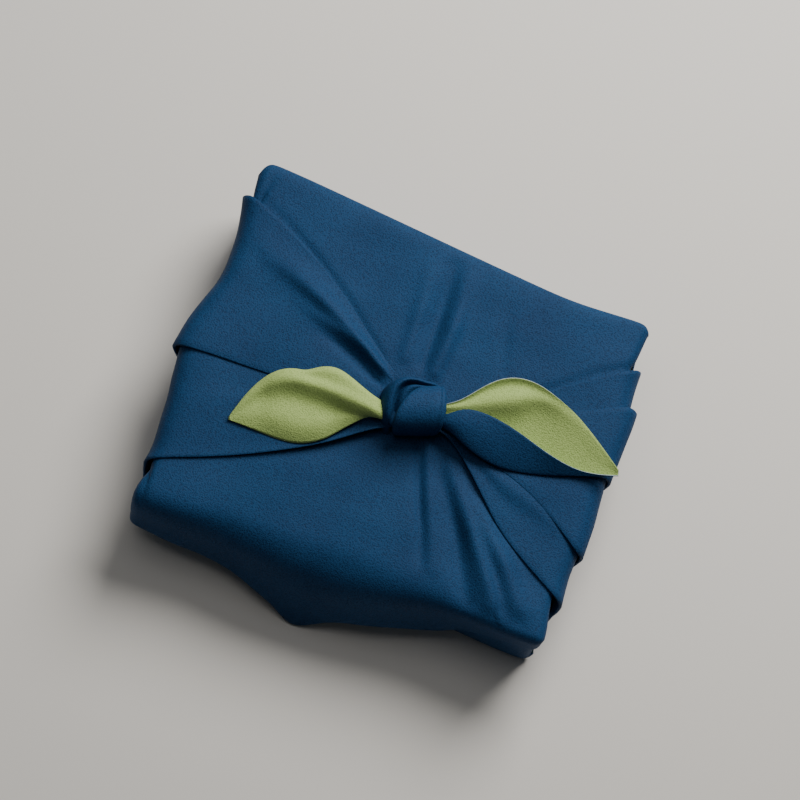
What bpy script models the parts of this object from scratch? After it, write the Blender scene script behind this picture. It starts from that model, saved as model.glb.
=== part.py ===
"""A furoshiki wrap: one square of cloth folded round a flat box, its side corners tied on top.

Sizes are in millimetres, and MM turns them into Blender's metres. X runs along the box, the far
corner of the cloth hangs over the front edge at -Y, and the floor is at z = 0. Every sheet is
drawn as the middle of its thickness and made solid at the end.
"""

import math
from collections import namedtuple

import bmesh
import bpy
from mathutils import Matrix, Vector

MM = 0.001

# The wrapped parcel, over the cloth of its base and sides
LENGTH, WIDTH, HEIGHT = 260.0, 214.0, 63.0
# The cloth, and the step from the middle of one layer to the middle of the next
THICK = 1.2
PITCH = 1.6
HALF = THICK / 2
# The box inside
BOX_LENGTH, BOX_WIDTH, BOX_HEIGHT, BOX_EDGE = 247.0, 200.0, 55.6, 3.0
BOX_LIFT = THICK + 0.3
# Bends of the cloth along the box's edges
EDGE_BEND = 6.0
FRONT_BEND = 5.0
ARC_STEPS = 3
# The middle of the cloth on each side of the parcel
SIDE_Y = WIDTH / 2 - HALF
TOP_Z = HEIGHT - HALF
# The hidden near corner: it lies on the box, and its tip is turned back underneath
NEAR_TIP_Y = -47.0
NEAR_TURN_Y = 94.2
NEAR_HALF = 121.0
# How far the cloth reaches round the upright edges, and down over the ends
EAR = 45.0
SKIRT = 20.0
REACH_STEPS = 2
# Where the middle of each layer stands at the ends of the box
EAR_X = LENGTH / 2 - HALF - 2 * PITCH
SKIRT_X = LENGTH / 2 - HALF - PITCH
WING_X = LENGTH / 2 - HALF
# The cloth under the wings is loose along the back's top edge and at the four corners, where it
# stands out past the plain outline: x and the extra y along the back, and the extra x and y at
# each corner
BACK_ROOM = [(-130, 13.2), (-121, 14.0), (60, -0.8), (84, -1.8), (120, 0.5)]
BACK_START, BACK_RUN, BACK_RISE = 88.0, 19.0, 50.0
CORNER_ROOM = {(-1, -1): (4.8, 5.0), (1, -1): (4.0, 3.0), (-1, 1): (5.2, 0.0), (1, 1): (0.0, 0.0)}
END_START, END_RUN = 100.0, 28.0
FRONT_START, FRONT_RUN = 60.0, 60.0
CORNER_START, CORNER_RUN = 85.0, 18.0
# The sheet's columns across the parcel, as shares of its half length
COLUMN_COUNT = 20
COLUMNS = [-1.0 + 2.0 * i / (COLUMN_COUNT - 1) for i in range(COLUMN_COUNT)]
TOP_ROWS = 13
HANG_ROWS = 7

# A wing's bend over the top edge of the box, and its rise towards the knot
WING_BEND = 13.0
WING_TOP_Z = TOP_Z + PITCH
WING_RISE, RISE_POWER, RISE_START, RISE_RUN = 6.0, 1.8, 118.0, 100.0
KNOT_SQUEEZE = 0.7
# Fold lines lie a little further apart along the base, and never closer than this
BASE_SPREAD, BASE_GAP = 1.06, 1.7
# Shares of the climb up the end of the box, with the one where the folds close
CLOSING = 0.55
CLIMB = (0.35, CLOSING, 0.77, 1.0)
RUN_STEPS = 6

# The far corner where it rolls over the front edge, from left to right:
# start is the y where the roll begins, bend its radius, lean the angle that it reaches, and
# drop the cloth from the start of the roll to the hem.
Roll = namedtuple("Roll", "x start bend lean drop")
ROLLS = [
    Roll(-128, -98.0, 14.0, 86.0, 50.0),
    Roll(-90, -97.0, 18.0, 80.0, 51.0),
    Roll(-72, -96.0, 22.0, 78.0, 55.0),
    Roll(-43, -96.0, 27.0, 73.0, 63.0),
    Roll(-29, -96.0, 29.0, 71.0, 70.0),
    Roll(-14, -96.0, 30.0, 70.0, 79.0),
    Roll(9, -96.0, 28.0, 72.0, 64.0),
    Roll(48, -98.0, 18.0, 80.0, 54.0),
    Roll(72, -100.0, 11.0, 86.0, 50.0),
    Roll(83, -101.5, 8.0, 90.0, 42.0),
    Roll(96, -102.0, 6.5, 90.0, 28.0),
    Roll(128, -102.0, 6.0, 90.0, 22.0),
]

# Ridges that the pull of the knot raises in the top, from near the knot outwards
Ridge = namedtuple("Ridge", "x0 y0 x1 y1 width height")
RIDGES = [
    Ridge(12, -24, 28, -84, 9.0, 1.6),
    Ridge(31, -27, 60, -88, 7.5, 3.2),
    Ridge(47, -35, 86, -88, 6.0, 2.8),
    Ridge(66, -44, 104, -84, 8.0, 1.6),
    Ridge(17, 28, 22, 88, 7.0, 1.6),
    Ridge(-2, 32, -8, 84, 7.0, 1.4),
    Ridge(-18, 40, -36, 80, 8.0, 1.0),
]

# A wing is the side corner of the cloth. Its folds run from the base up the end of the box and
# over the top to the knot. Each row is one fold line, from back to front: layer counts layers
# above the far corner's cloth, bulge is how far it stands out at the end, swell how far it is
# raised on the top, and the other columns are y at the five STATIONS, from edge to knot.
Fold = namedtuple("Fold", "name layer bulge swell edge outer middle inner knot")
LEFT_STATIONS = (133.0, 100.0, 60.0, 30.0, 12.0)
LEFT_FOLDS = [
    Fold("hem_under", 0.5, 5.5, 0.0, 80, 68, 44, 21, 8),
    Fold("hem_lower", 1, 5.5, 0.0, 93, 80, 53.5, 28, 12),
    Fold("hem_upper", 2, 5.5, 0.0, 93, 80, 53.5, 28, 12),
    Fold("shoulder", 1, 3.6, 1.0, 84, 72.5, 49, 26, 11),
    Fold("ridge", 1, 1.0, 2.2, 72, 62, 43, 22.5, 9.5),
    Fold("slope", 1, 0.3, 1.0, 64, 55, 39, 19.5, 8.3),
    Fold("trough", 1, 0.0, -0.4, 58, 49.5, 35, 17, 7),
    Fold("ridge", 1, 0.5, 3.0, 49, 41.5, 30, 15.7, 5.8),
    Fold("slope", 1.3, 0.8, 1.2, 43, 35.5, 26, 14.5, 4.8),
    Fold("trough", 1.5, 2.0, -0.8, 38, 31, 23, 13.5, 4),
    Fold("ridge", 2, 5.5, 2.5, 26, 22, 14.5, 8.5, 1.8),
    Fold("broad", 2.5, 8.6, 1.5, 8, 6, 3, 1.5, -1.5),
    Fold("pleat_upper", 3.4, 9.6, 0.0, -12.5, -11, -10, -7, -5),
    Fold("pleat_lower", 2.4, 9.6, 0.0, -12.5, -11, -10, -7, -5),
    Fold("tuck_upper", 2, 9.0, 0.0, -3, -2.5, -3, -2, -2.5),
    Fold("tuck_lower", 1, 9.0, 0.0, -3, -2.5, -3, -2, -2.5),
    Fold("panel", 1, 8.0, 0.0, -22, -20, -17, -11.5, -8),
    Fold("panel", 1, 6.0, 0.8, -38, -33, -26, -17, -11),
    Fold("panel", 1, 4.2, 1.0, -54, -46, -35, -23.5, -14.5),
    Fold("panel", 1, 3.0, 0.8, -68, -58, -44, -30, -17.5),
    Fold("panel", 1, 2.5, 0.3, -79, -67, -50.5, -34, -20),
    Fold("hem_upper", 2, 2.5, 0.0, -87, -74, -55, -37, -22),
    Fold("hem_lower", 1, 2.5, 0.0, -87, -74, -55, -37, -22),
    Fold("hem_under", 0.5, 2.5, 0.0, -78, -62, -45, -30, -18),
]
RIGHT_STATIONS = (133.0, 105.0, 80.0, 55.0, 35.0)
RIGHT_FOLDS = [
    Fold("hem_under", 0.5, 0.8, 0.0, 65, 48, 27, 12, 5),
    Fold("hem_lower", 1, 0.8, 0.0, 77.5, 58, 35.5, 18.5, 8),
    Fold("hem_upper", 2, 0.8, 0.0, 77.5, 58, 35.5, 18.5, 8),
    Fold("panel", 2.6, 0.5, 0.4, 64, 46, 28.5, 15, 6.2),
    Fold("tuck_lower", 3.4, 0.0, 0.0, 41, 26, 15.5, 8, 2.5),
    Fold("tuck_upper", 4.4, 0.0, 0.0, 41, 26, 15.5, 8, 2.5),
    Fold("pleat_lower", 4.8, 0.0, 0.0, 50.5, 33.5, 21, 11, 4),
    Fold("pleat_upper", 5.8, 0.0, 0.0, 50.5, 33.5, 21, 11, 4),
    Fold("panel", 5.8, 0.0, 1.2, 36, 21, 9.5, 3, -1),
    Fold("panel", 5.8, -0.6, 1.2, 19, 6, -3, -6, -5),
    Fold("pleat_upper", 5.8, -1.2, 0.0, 2.5, -8, -15.5, -14, -9),
    Fold("pleat_lower", 4.8, -1.2, 0.0, 2.5, -8, -15.5, -14, -9),
    Fold("tuck_upper", 4.4, -1.0, 0.0, 11, 0, -8, -8.5, -6),
    Fold("tuck_lower", 3.4, -1.0, 0.0, 11, 0, -8, -8.5, -6),
    Fold("panel", 3.4, 0.0, 0.4, -12, -16.5, -19, -15.7, -10),
    Fold("panel", 3.4, 0.8, 0.4, -32, -25.5, -22, -17, -11.2),
    Fold("pleat_upper", 3.4, 1.4, 0.0, -49, -33.5, -24.5, -18, -12),
    Fold("pleat_lower", 2.4, 1.4, 0.0, -49, -33.5, -24.5, -18, -12),
    Fold("tuck_upper", 2, 1.4, 0.0, -40, -26, -18.5, -14, -10),
    Fold("tuck_lower", 1, 1.4, 0.0, -40, -26, -18.5, -14, -10),
    Fold("panel", 1, 1.6, 0.6, -67, -50, -37, -24, -12.3),
    Fold("hem_upper", 2, 2.4, 0.0, -82.5, -67, -51, -32, -13),
    Fold("hem_lower", 1, 2.4, 0.0, -82.5, -67, -51, -32, -13),
    Fold("hem_under", 0.5, 2.4, 0.0, -70, -55, -41, -26, -11),
]

# The knot stands a little right of the middle, turned from the box
KNOT_AT = Vector((9.0, -4.0, 72.0))
KNOT_TURN = math.radians(20.5)
# The rolls of the knot: each is an ellipsoid's centre and half sizes, in the knot's own axes
Lump = namedtuple("Lump", "name x y z half_x half_y half_z square")
LUMPS = [
    Lump("core", 0.0, 0.0, 1.0, 24.0, 15.5, 8.0, 2.6),
    Lump("band", 5.5, -1.5, 6.5, 14.5, 17.0, 11.0, 3.4),
]
# The roll that arches round the band, along its middle
Arch = namedtuple("Arch", "x y z radius")
ARCH = [
    Arch(-16.0, -9.0, 2.0, 5.0),
    Arch(-16.5, -2.0, 8.0, 6.2),
    Arch(-14.5, 6.0, 11.5, 6.6),
    Arch(-8.0, 13.0, 12.5, 6.4),
    Arch(2.0, 16.5, 11.0, 6.0),
    Arch(12.0, 17.0, 7.0, 5.4),
    Arch(18.0, 13.0, 1.5, 4.6),
]

# The free ends, one row for each station from the knot to the tip: x, then y and z across it
LeftEnd = namedtuple("LeftEnd", "x far_y far_z ridge_y ridge_z valley_y valley_z near_y near_z")
LEFT_END = [
    LeftEnd(-2, -3, 80, -8, 82, -13, 78.5, -16, 78),
    LeftEnd(-14, -6, 80.5, -12, 83, -16, 78.5, -17.5, 77.5),
    LeftEnd(-29, -2.5, 80, -12, 81, -17, 76.5, -24, 75.5),
    LeftEnd(-44, 3, 79, -12.5, 79.5, -17, 75, -38, 72.5),
    LeftEnd(-59, -2.5, 78, -13, 78, -18, 74, -48, 70.8),
    LeftEnd(-73, -7, 76, -17.5, 75.5, -25, 73, -49.5, 69.8),
    LeftEnd(-85.5, -18, 73, -24.5, 73, -34, 71, -49, 68.8),
    LeftEnd(-95, -46.5, 68.5, -47, 68.5, -47.5, 68.4, -48, 68.3),
]
RightEnd = namedtuple(
    "RightEnd", "x far_y far_z inner_y inner_z fold_y fold_z near_y near_z hem_y hem_z"
)
RIGHT_END = [
    RightEnd(20, 4, 80, 1, 78.5, -8, 76.5, -6, 82, -2, 82.5),
    RightEnd(36, 10.5, 81.5, 3, 78.5, -11, 76.5, -4, 82.5, 6.3, 84.5),
    RightEnd(50, 28, 83.5, 9, 78.5, -16, 76.2, -5, 83, 9.4, 85),
    RightEnd(66, 36, 85, 10, 78, -18, 76, -6.5, 82.5, 8, 84.5),
    RightEnd(82, 36.5, 84.5, 9, 77.5, -15.5, 75.8, -7, 81.5, 4, 83),
    RightEnd(98, 31.5, 82.5, 8, 77, -11, 75.6, -6.5, 79.8, -0.5, 80.6),
    RightEnd(113, 25, 80, 8, 76, -5.5, 75.4, -4, 78.4, -1.9, 78.6),
    RightEnd(127, 16, 77.5, 8, 75.2, -0.5, 74.8, 0.5, 76.8, 1.6, 76.9),
    RightEnd(140, 7.5, 75, 5.5, 74.6, 3.4, 74.2, 3.8, 75.9, 4.4, 76),
]

Row = namedtuple("Row", "zone y z ny nz half reach")


def between(a, b, share):
    return a + (b - a) * share


def smooth_step(share):
    share = min(1.0, max(0.0, share))
    return share * share * (3.0 - 2.0 * share)


def through(xs, ys, x):
    """The value at x of a smooth curve through the points, which follow in order along x."""
    if xs[0] > xs[-1]:
        xs, ys = xs[::-1], ys[::-1]
    x = min(xs[-1], max(xs[0], x))
    i = min(len(xs) - 2, max(k for k in range(len(xs)) if xs[k] <= x))
    step = xs[i + 1] - xs[i]
    slopes = []
    for k in (i, i + 1):
        low, high = max(0, k - 1), min(len(xs) - 1, k + 1)
        slopes.append((ys[high] - ys[low]) / (xs[high] - xs[low]) * step)
    t = (x - xs[i]) / step
    return (
        (2 * t**3 - 3 * t**2 + 1) * ys[i]
        + (t**3 - 2 * t**2 + t) * slopes[0]
        + (3 * t**2 - 2 * t**3) * ys[i + 1]
        + (t**3 - t**2) * slopes[1]
    )


# ---------------------------------------------------------------- the strip over the box


def arc_rows(zone, y, z, bend, start, end, halves, steps=ARC_STEPS):
    """Rows round a bend, without its two ends; the normals point out of the parcel."""
    rows = []
    for i in range(1, steps):
        angle = math.radians(between(start, end, i / steps))
        c, s = math.cos(angle), math.sin(angle)
        half = between(halves[0], halves[1], i / steps)
        rows.append(Row(zone, y + bend * c, z + bend * s, c, s, half, 0.0))
    return rows


def strip_rows():
    """The strip from the near corner, hidden on the box, round the front, base and back."""
    low, high = HALF + EDGE_BEND, TOP_Z - EDGE_BEND
    near_z = TOP_Z - PITCH
    turn = PITCH / 2
    ear, skirt, wing = EAR_X - EDGE_BEND, SKIRT_X - EDGE_BEND, WING_X - EDGE_BEND
    flat_y = SIDE_Y - EDGE_BEND
    rows = []
    for y in (NEAR_TIP_Y, -10.0, 30.0, 70.0, NEAR_TURN_Y):
        half = min(NEAR_HALF, y - NEAR_TIP_Y + 2.0)
        rows.append(Row("near", y, near_z - PITCH, 0, -1, half, None))
    for degrees in (-45, 0, 45):
        c, s = math.cos(math.radians(degrees)), math.sin(math.radians(degrees))
        rows.append(
            Row("near", NEAR_TURN_Y + turn * c, near_z - turn + turn * s, c, s, NEAR_HALF, None)
        )
    for y in (NEAR_TURN_Y, 20.0, -50.0, -SIDE_Y + FRONT_BEND):
        rows.append(Row("near", y, near_z, 0, 1, NEAR_HALF, None))
    for row in arc_rows(
        "near", -SIDE_Y + FRONT_BEND, near_z - FRONT_BEND, FRONT_BEND, 90, 180, (NEAR_HALF, ear)
    ):
        rows.append(row._replace(reach=None))
    for z in (near_z - FRONT_BEND, between(low, high, 0.5), low):
        rows.append(Row("front", -SIDE_Y, z, -1, 0, ear, EAR))
    rows += arc_rows("corner", -flat_y, low, EDGE_BEND, 180, 270, (ear, wing))
    for y in reversed(base_lines(RIGHT_FOLDS)):
        rows.append(Row("base", y, HALF, 0, -1, wing, 0.0))
    rows += arc_rows("corner", flat_y, low, EDGE_BEND, 270, 360, (wing, ear))
    for z in (low, between(low, high, 0.5), high):
        rows.append(Row("back", SIDE_Y, z, 1, 0, ear, EAR))
    rows += arc_rows("corner", flat_y, high, EDGE_BEND, 0, 90, (ear, skirt))
    return rows


def ridge_height(x, y):
    """How far the knot's pull raises the far corner's cloth at a point of the top."""
    raised = 0.0
    for ridge in RIDGES:
        along = Vector((ridge.x1 - ridge.x0, ridge.y1 - ridge.y0))
        offset = Vector((x - ridge.x0, y - ridge.y0))
        share = offset.dot(along) / along.length_squared
        aside = abs(along.cross(offset)) / along.length
        width = ridge.width * between(0.6, 1.3, min(1.0, max(0.0, share)))
        fade = smooth_step(share / 0.25 + 0.6) * smooth_step((1.15 - share) / 0.45)
        raised += ridge.height * fade * math.exp(-((aside / width) ** 2))
    return raised


def roll_at(x):
    xs = [roll.x for roll in ROLLS]
    return [through(xs, [getattr(roll, name) for roll in ROLLS], x) for name in Roll._fields[1:]]


def roll_point(x, drop):
    """(y, z, ny, nz) of the far corner's cloth, a length of drop past the start of its roll."""
    start, bend, lean, _ = roll_at(x)
    lean = math.radians(lean)
    angle = min(drop / bend, lean)
    rest = max(0.0, drop - bend * lean)
    y = start - bend * math.sin(angle) - rest * math.cos(lean)
    z = TOP_Z - bend * (1 - math.cos(angle)) - rest * math.sin(lean)
    return y, z, -math.sin(angle), math.cos(angle)


def far_rows():
    """Rows of shares: 0 to 1 across the top, then 1 to 2 down the far corner's roll and hem."""
    top = [i / TOP_ROWS for i in range(TOP_ROWS)]
    return top + [1.0 + i / HANG_ROWS for i in range(HANG_ROWS + 1)]


def far_point(x, share):
    """(y, z, ny, nz) of the far corner's cloth."""
    start, _, _, drop = roll_at(x)
    if share <= 1.0:
        y = between(SIDE_Y - EDGE_BEND, start, share)
        return y, TOP_Z + ridge_height(x, y), 0.0, 1.0
    y, z, ny, nz = roll_point(x, (share - 1.0) * drop)
    fade = smooth_step((2.0 - share) / 0.6)
    return y, z + ridge_height(x, y) * fade * nz, ny, nz


# ---------------------------------------------------------------- the wings


def wing_rise(x):
    return WING_RISE * max(0.0, (RISE_START - x) / RISE_RUN) ** RISE_POWER


def turned_under(fold):
    return fold.name.startswith("tuck") or fold.name == "hem_under"


def fold_edge(folds, i):
    """The number of the fold line that a line turned under hangs from."""
    near = sorted(range(len(folds)), key=lambda k: abs(k - i))
    return next(k for k in near if folds[k].name in ("pleat_lower", "hem_lower"))


def base_lines(folds):
    """Where each fold line starts along the base, from back to front: there no fold overlaps."""
    limit = SIDE_Y - EDGE_BEND
    lines = [limit]
    for i in range(1, len(folds) - 1):
        source = folds[fold_edge(folds, i)] if turned_under(folds[i]) else folds[i]
        lines.append(min(lines[-1] - BASE_GAP, source.edge * BASE_SPREAD))
    return lines + [-limit]


def climb(folds, i, share):
    """y of a fold line on the end of the box, a share of the way from its bottom to its top.

    A line turned under starts beside its fold edge, meets it at CLOSING and then passes behind."""
    lines = base_lines(folds)
    if not turned_under(folds[i]):
        return between(lines[i], folds[i].edge, share)
    k = fold_edge(folds, i)
    edge_y = between(lines[k], folds[k].edge, share)
    if share < CLOSING:
        return edge_y + lines[i] - lines[k]
    return between(edge_y, folds[i].edge, (share - CLOSING) / (1.0 - CLOSING))


def wing_path(folds, i, stations):
    """One fold line of a wing as points (x, y, z) for the side at +X, from the base's edge."""
    fold = folds[i]
    lift = fold.layer * PITCH
    low = HALF + EDGE_BEND
    top_z = WING_TOP_Z + lift
    side_x = WING_X + lift + fold.bulge
    ys = fold[4:]
    points = []
    for step in range(1, ARC_STEPS + 1):
        angle = math.radians(90 * step / ARC_STEPS)
        x = WING_X - EDGE_BEND * (1 - math.sin(angle))
        z = HALF + EDGE_BEND * (1 - math.cos(angle))
        points.append((x, base_lines(folds)[i], z))
    bend_z = top_z - WING_BEND
    for share in CLIMB:
        points.append((side_x, climb(folds, i, share), between(low, bend_z, share)))
    for degrees in (30, 60, 90):
        angle = math.radians(degrees)
        x = side_x - WING_BEND * (1 - math.cos(angle))
        z = bend_z + WING_BEND * math.sin(angle)
        points.append((x, through(stations, ys, x), z))
    last = stations[-1]
    first = side_x - WING_BEND
    for step in range(1, RUN_STEPS + 1):
        share = step / RUN_STEPS
        x = between(first, last, share)
        squeeze = between(1.0, KNOT_SQUEEZE, share)
        swell = fold.swell * math.sin(math.pi * share**0.8)
        z = WING_TOP_Z + lift * squeeze + wing_rise(x) + swell
        points.append((x, through(stations, ys, x), z))
    return points


def wing_end(fold, stations, side):
    """The hidden end of a fold line, inside the knot."""
    x = stations[-1] - 14.0
    y = between(fold.knot, KNOT_AT.y, 0.35)
    z = WING_TOP_Z + fold.layer * PITCH * KNOT_SQUEEZE * 0.9 + wing_rise(stations[-1]) + 0.6
    return (side * x, y, z)


# ---------------------------------------------------------------- meshes


class Sheet:
    """Points and faces of an open sheet that is drawn grid by grid."""

    def __init__(self):
        self.points = []
        self.faces = []

    def add(self, point):
        self.points.append(Vector(point) * MM)
        return len(self.points) - 1

    def join(self, first, second):
        """Faces between two neighbouring rows of point numbers, as far as both reach."""
        for k in range(min(len(first), len(second)) - 1):
            self.faces.append((first[k], first[k + 1], second[k + 1], second[k]))

    def loft(self, rows):
        for first, second in zip(rows, rows[1:]):
            self.join(first, second)

    def make(self, name, collection, material):
        mesh = bpy.data.meshes.new(name)
        mesh.from_pydata([tuple(point) for point in self.points], [], self.faces)
        work = bmesh.new()
        work.from_mesh(mesh)
        bmesh.ops.recalc_face_normals(work, faces=work.faces)
        work.to_mesh(mesh)
        work.free()
        mesh.materials.append(material)
        thing = bpy.data.objects.new(name, mesh)
        collection.objects.link(thing)
        return thing


def round_end(row, side):
    """Points that carry a row of the sheet round the end of the box, from its last column."""
    _, y, z, ny, nz, half, reach = row
    points = []
    for i in range(1, ARC_STEPS + 1):
        angle = math.radians(90 * i / ARC_STEPS)
        out, down = EDGE_BEND * math.sin(angle), EDGE_BEND * (1 - math.cos(angle))
        points.append((side * (half + out), y - ny * down, z - nz * down))
    for i in range(1, REACH_STEPS + 1 if reach else 1):
        down = EDGE_BEND + reach * i / REACH_STEPS
        points.append((side * (half + EDGE_BEND), y - ny * down, z - nz * down))
    return points


def loosened(point):
    """A point of the plain wrap, moved out to where the loose cloth lies."""
    x, y, z = point
    end, side = math.copysign(1, x), math.copysign(1, y)
    out_x, out_y = CORNER_ROOM[end, side]
    near_corner = smooth_step((abs(y) - CORNER_START) / CORNER_RUN)
    new_x = x + end * out_x * near_corner * smooth_step((abs(x) - END_START) / END_RUN)
    if side > 0:
        room = through([at for at, _ in BACK_ROOM], [out for _, out in BACK_ROOM], x)
        near_edge = smooth_step((y - BACK_START) / BACK_RUN) * smooth_step(z / BACK_RISE)
        return new_x, y + room * near_edge, z
    near_end = smooth_step((abs(x) - FRONT_START) / FRONT_RUN)
    return new_x, y - out_y * near_corner * near_end, z


def wrapped_sheet():
    """The whole cloth but for its tied ends: the strip over the box, its folds and both wings."""
    sheet = Sheet()
    rows = strip_rows()
    base = [i for i, row in enumerate(rows) if row.zone == "base"]
    starts = {-1: base_lines(LEFT_FOLDS)[::-1], 1: base_lines(RIGHT_FOLDS)[::-1]}
    middle = []
    for i, row in enumerate(rows):
        points = []
        for c in COLUMNS:
            y = row.y
            if i in base:
                k = base.index(i)
                y = between(starts[-1][k], starts[1][k], (c + 1) / 2)
            point = (row.half * c, y, row.z)
            points.append(sheet.add(point if row.zone == "base" else loosened(point)))
        middle.append(points)
    skirt = SKIRT_X - EDGE_BEND
    for share in far_rows():
        points = []
        for c in COLUMNS:
            y, z, ny, nz = far_point(skirt * c, share)
            points.append(sheet.add(loosened((skirt * c, y, z))))
        middle.append(points)
        rows.append(Row("far", y, z, ny, nz, skirt, SKIRT if share < 0.97 else 0.0))
    sheet.loft(middle)
    for side, folds, stations in ((-1, LEFT_FOLDS, LEFT_STATIONS), (1, RIGHT_FOLDS, RIGHT_STATIONS)):
        edge = 0 if side < 0 else -1
        ends = []
        for i, row in enumerate(rows):
            if row.reach is None:
                ends.append([])
                continue
            if row.zone == "far":
                y, z, ny, nz = far_point(side * row.half, far_rows()[i - len(rows)])
                row = row._replace(y=y, z=z, ny=ny, nz=nz)
            if row.zone == "base":
                k = base.index(i)
                fold = folds[len(folds) - 1 - k]
                path = wing_path(folds, len(folds) - 1 - k, stations)
                points = [(side * x, y, z) for x, y, z in path] + [wing_end(fold, stations, side)]
            else:
                points = [loosened(point) for point in round_end(row, side)]
            ends.append([middle[i][edge]] + [sheet.add(point) for point in points])
        sheet.loft(ends)
    return sheet


def left_end_sheet():
    sheet = Sheet()
    rows = []
    for end in LEFT_END:
        across = [
            (end.far_y, end.far_z - 1.0),
            (between(end.far_y, end.ridge_y, 0.5), between(end.far_z, end.ridge_z, 0.5) + 0.6),
            (end.ridge_y, end.ridge_z),
            (end.valley_y, end.valley_z),
            (between(end.valley_y, end.near_y, 0.5), between(end.valley_z, end.near_z, 0.5) + 0.8),
            (end.near_y, end.near_z),
        ]
        rows.append([sheet.add((end.x, y, z)) for y, z in across])
    sheet.loft(rows)
    return sheet


def right_end_sheet():
    sheet = Sheet()
    rows = []
    turn = PITCH / 2
    for end in RIGHT_END:
        across = [
            (end.far_y, end.far_z),
            (between(end.far_y, end.inner_y, 0.5), between(end.far_z, end.inner_z, 0.5) - 1.0),
            (end.inner_y, end.inner_z),
            (end.fold_y, end.fold_z - turn),
            (end.fold_y, end.fold_z + turn),
            (end.near_y, end.near_z),
            (end.hem_y, end.hem_z),
        ]
        rows.append([sheet.add((end.x, y, z)) for y, z in across])
    sheet.loft(rows)
    return sheet


def make_lump(lump, collection, material):
    """A roll of the knot as a rounded block: a sphere pushed out towards its corners."""
    mesh = bpy.data.meshes.new(lump.name)
    work = bmesh.new()
    bmesh.ops.create_uvsphere(work, u_segments=20, v_segments=10, radius=1.0)
    size = Vector((lump.half_x, lump.half_y, lump.half_z))
    for vert in work.verts:
        reach = sum(abs(value) ** lump.square for value in vert.co) ** (1.0 / lump.square)
        vert.co = Vector([a * b for a, b in zip(vert.co / reach, size)]) * MM
    work.to_mesh(mesh)
    work.free()
    mesh.materials.append(material)
    thing = bpy.data.objects.new(lump.name, mesh)
    thing.matrix_world = knot_matrix() @ Matrix.Translation(Vector((lump.x, lump.y, lump.z)) * MM)
    collection.objects.link(thing)
    return thing


def knot_matrix():
    return Matrix.Translation(KNOT_AT * MM) @ Matrix.Rotation(KNOT_TURN, 4, "Z")


def make_arch(collection, material):
    curve = bpy.data.curves.new("arch_route", "CURVE")
    curve.dimensions = "3D"
    curve.bevel_depth = MM
    curve.bevel_resolution = 2
    curve.resolution_u = 2
    curve.use_fill_caps = True
    spline = curve.splines.new("BEZIER")
    spline.bezier_points.add(len(ARCH) - 1)
    for point, arch in zip(spline.bezier_points, ARCH):
        point.co = Vector((arch.x, arch.y, arch.z)) * MM
        point.radius = arch.radius
        point.handle_left_type = point.handle_right_type = "AUTO"
    guide = bpy.data.objects.new("arch_route", curve)
    collection.objects.link(guide)
    bpy.context.view_layer.update()
    mesh = bpy.data.meshes.new_from_object(guide.evaluated_get(bpy.context.evaluated_depsgraph_get()))
    bpy.data.objects.remove(guide)
    work = bmesh.new()
    work.from_mesh(mesh)
    bmesh.ops.remove_doubles(work, verts=work.verts, dist=1e-6)
    bmesh.ops.recalc_face_normals(work, faces=work.faces)
    work.to_mesh(mesh)
    work.free()
    mesh.materials.clear()
    mesh.materials.append(material)
    thing = bpy.data.objects.new("arch", mesh)
    thing.matrix_world = knot_matrix()
    collection.objects.link(thing)
    return thing


def make_box(collection):
    material = principled("plain box", (0.55, 0.50, 0.43, 1.0), 0.8)
    mesh = bpy.data.meshes.new("box")
    work = bmesh.new()
    bmesh.ops.create_cube(work, size=1.0)
    bmesh.ops.scale(work, verts=work.verts, vec=Vector((BOX_LENGTH, BOX_WIDTH, BOX_HEIGHT)) * MM)
    work.to_mesh(mesh)
    work.free()
    mesh.materials.append(material)
    box = bpy.data.objects.new("box", mesh)
    box.location = (0, 0, (BOX_LIFT + BOX_HEIGHT / 2) * MM)
    collection.objects.link(box)
    bevel = box.modifiers.new("rounded edges", "BEVEL")
    bevel.width = BOX_EDGE * MM
    bevel.segments = 2
    return box


# ---------------------------------------------------------------- materials and modifiers


def principled(name, colour, roughness):
    material = bpy.data.materials.new(name)
    material.use_nodes = True
    shader = material.node_tree.nodes["Principled BSDF"]
    shader.inputs["Base Color"].default_value = colour
    shader.inputs["Roughness"].default_value = roughness
    shader.inputs["Metallic"].default_value = 0.0
    return material


def thicken(thing):
    solid = thing.modifiers.new("cloth thickness", "SOLIDIFY")
    solid.thickness = THICK * MM
    solid.offset = 0.0


def join_to(cloth, others):
    for other in others:
        other.hide_render = True
        other.display_type = "WIRE"
        union = cloth.modifiers.new("tied with " + other.name, "BOOLEAN")
        union.operation = "UNION"
        union.solver = "EXACT"
        union.use_self = True
        union.object = other


def keep_outer_shell(cloth):
    """Applies the modifiers and drops the slivers that the folds close off inside the cloth."""
    graph = bpy.context.evaluated_depsgraph_get()
    mesh = bpy.data.meshes.new_from_object(cloth.evaluated_get(graph))
    cloth.modifiers.clear()
    cloth.data = mesh
    work = bmesh.new()
    work.from_mesh(mesh)
    left = set(work.verts)
    shells = []
    while left:
        shell, edge = set(), [left.pop()]
        while edge:
            vert = edge.pop()
            shell.add(vert)
            found = {side.other_vert(vert) for side in vert.link_edges} & left
            left -= found
            edge += found
        shells.append(shell)
    outer = max(shells, key=len)
    bmesh.ops.delete(work, geom=[vert for vert in work.verts if vert not in outer], context="VERTS")
    work.to_mesh(mesh)
    work.free()


def new_collection(name):
    collection = bpy.data.collections.new(name)
    bpy.context.scene.collection.children.link(collection)
    return collection


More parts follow.
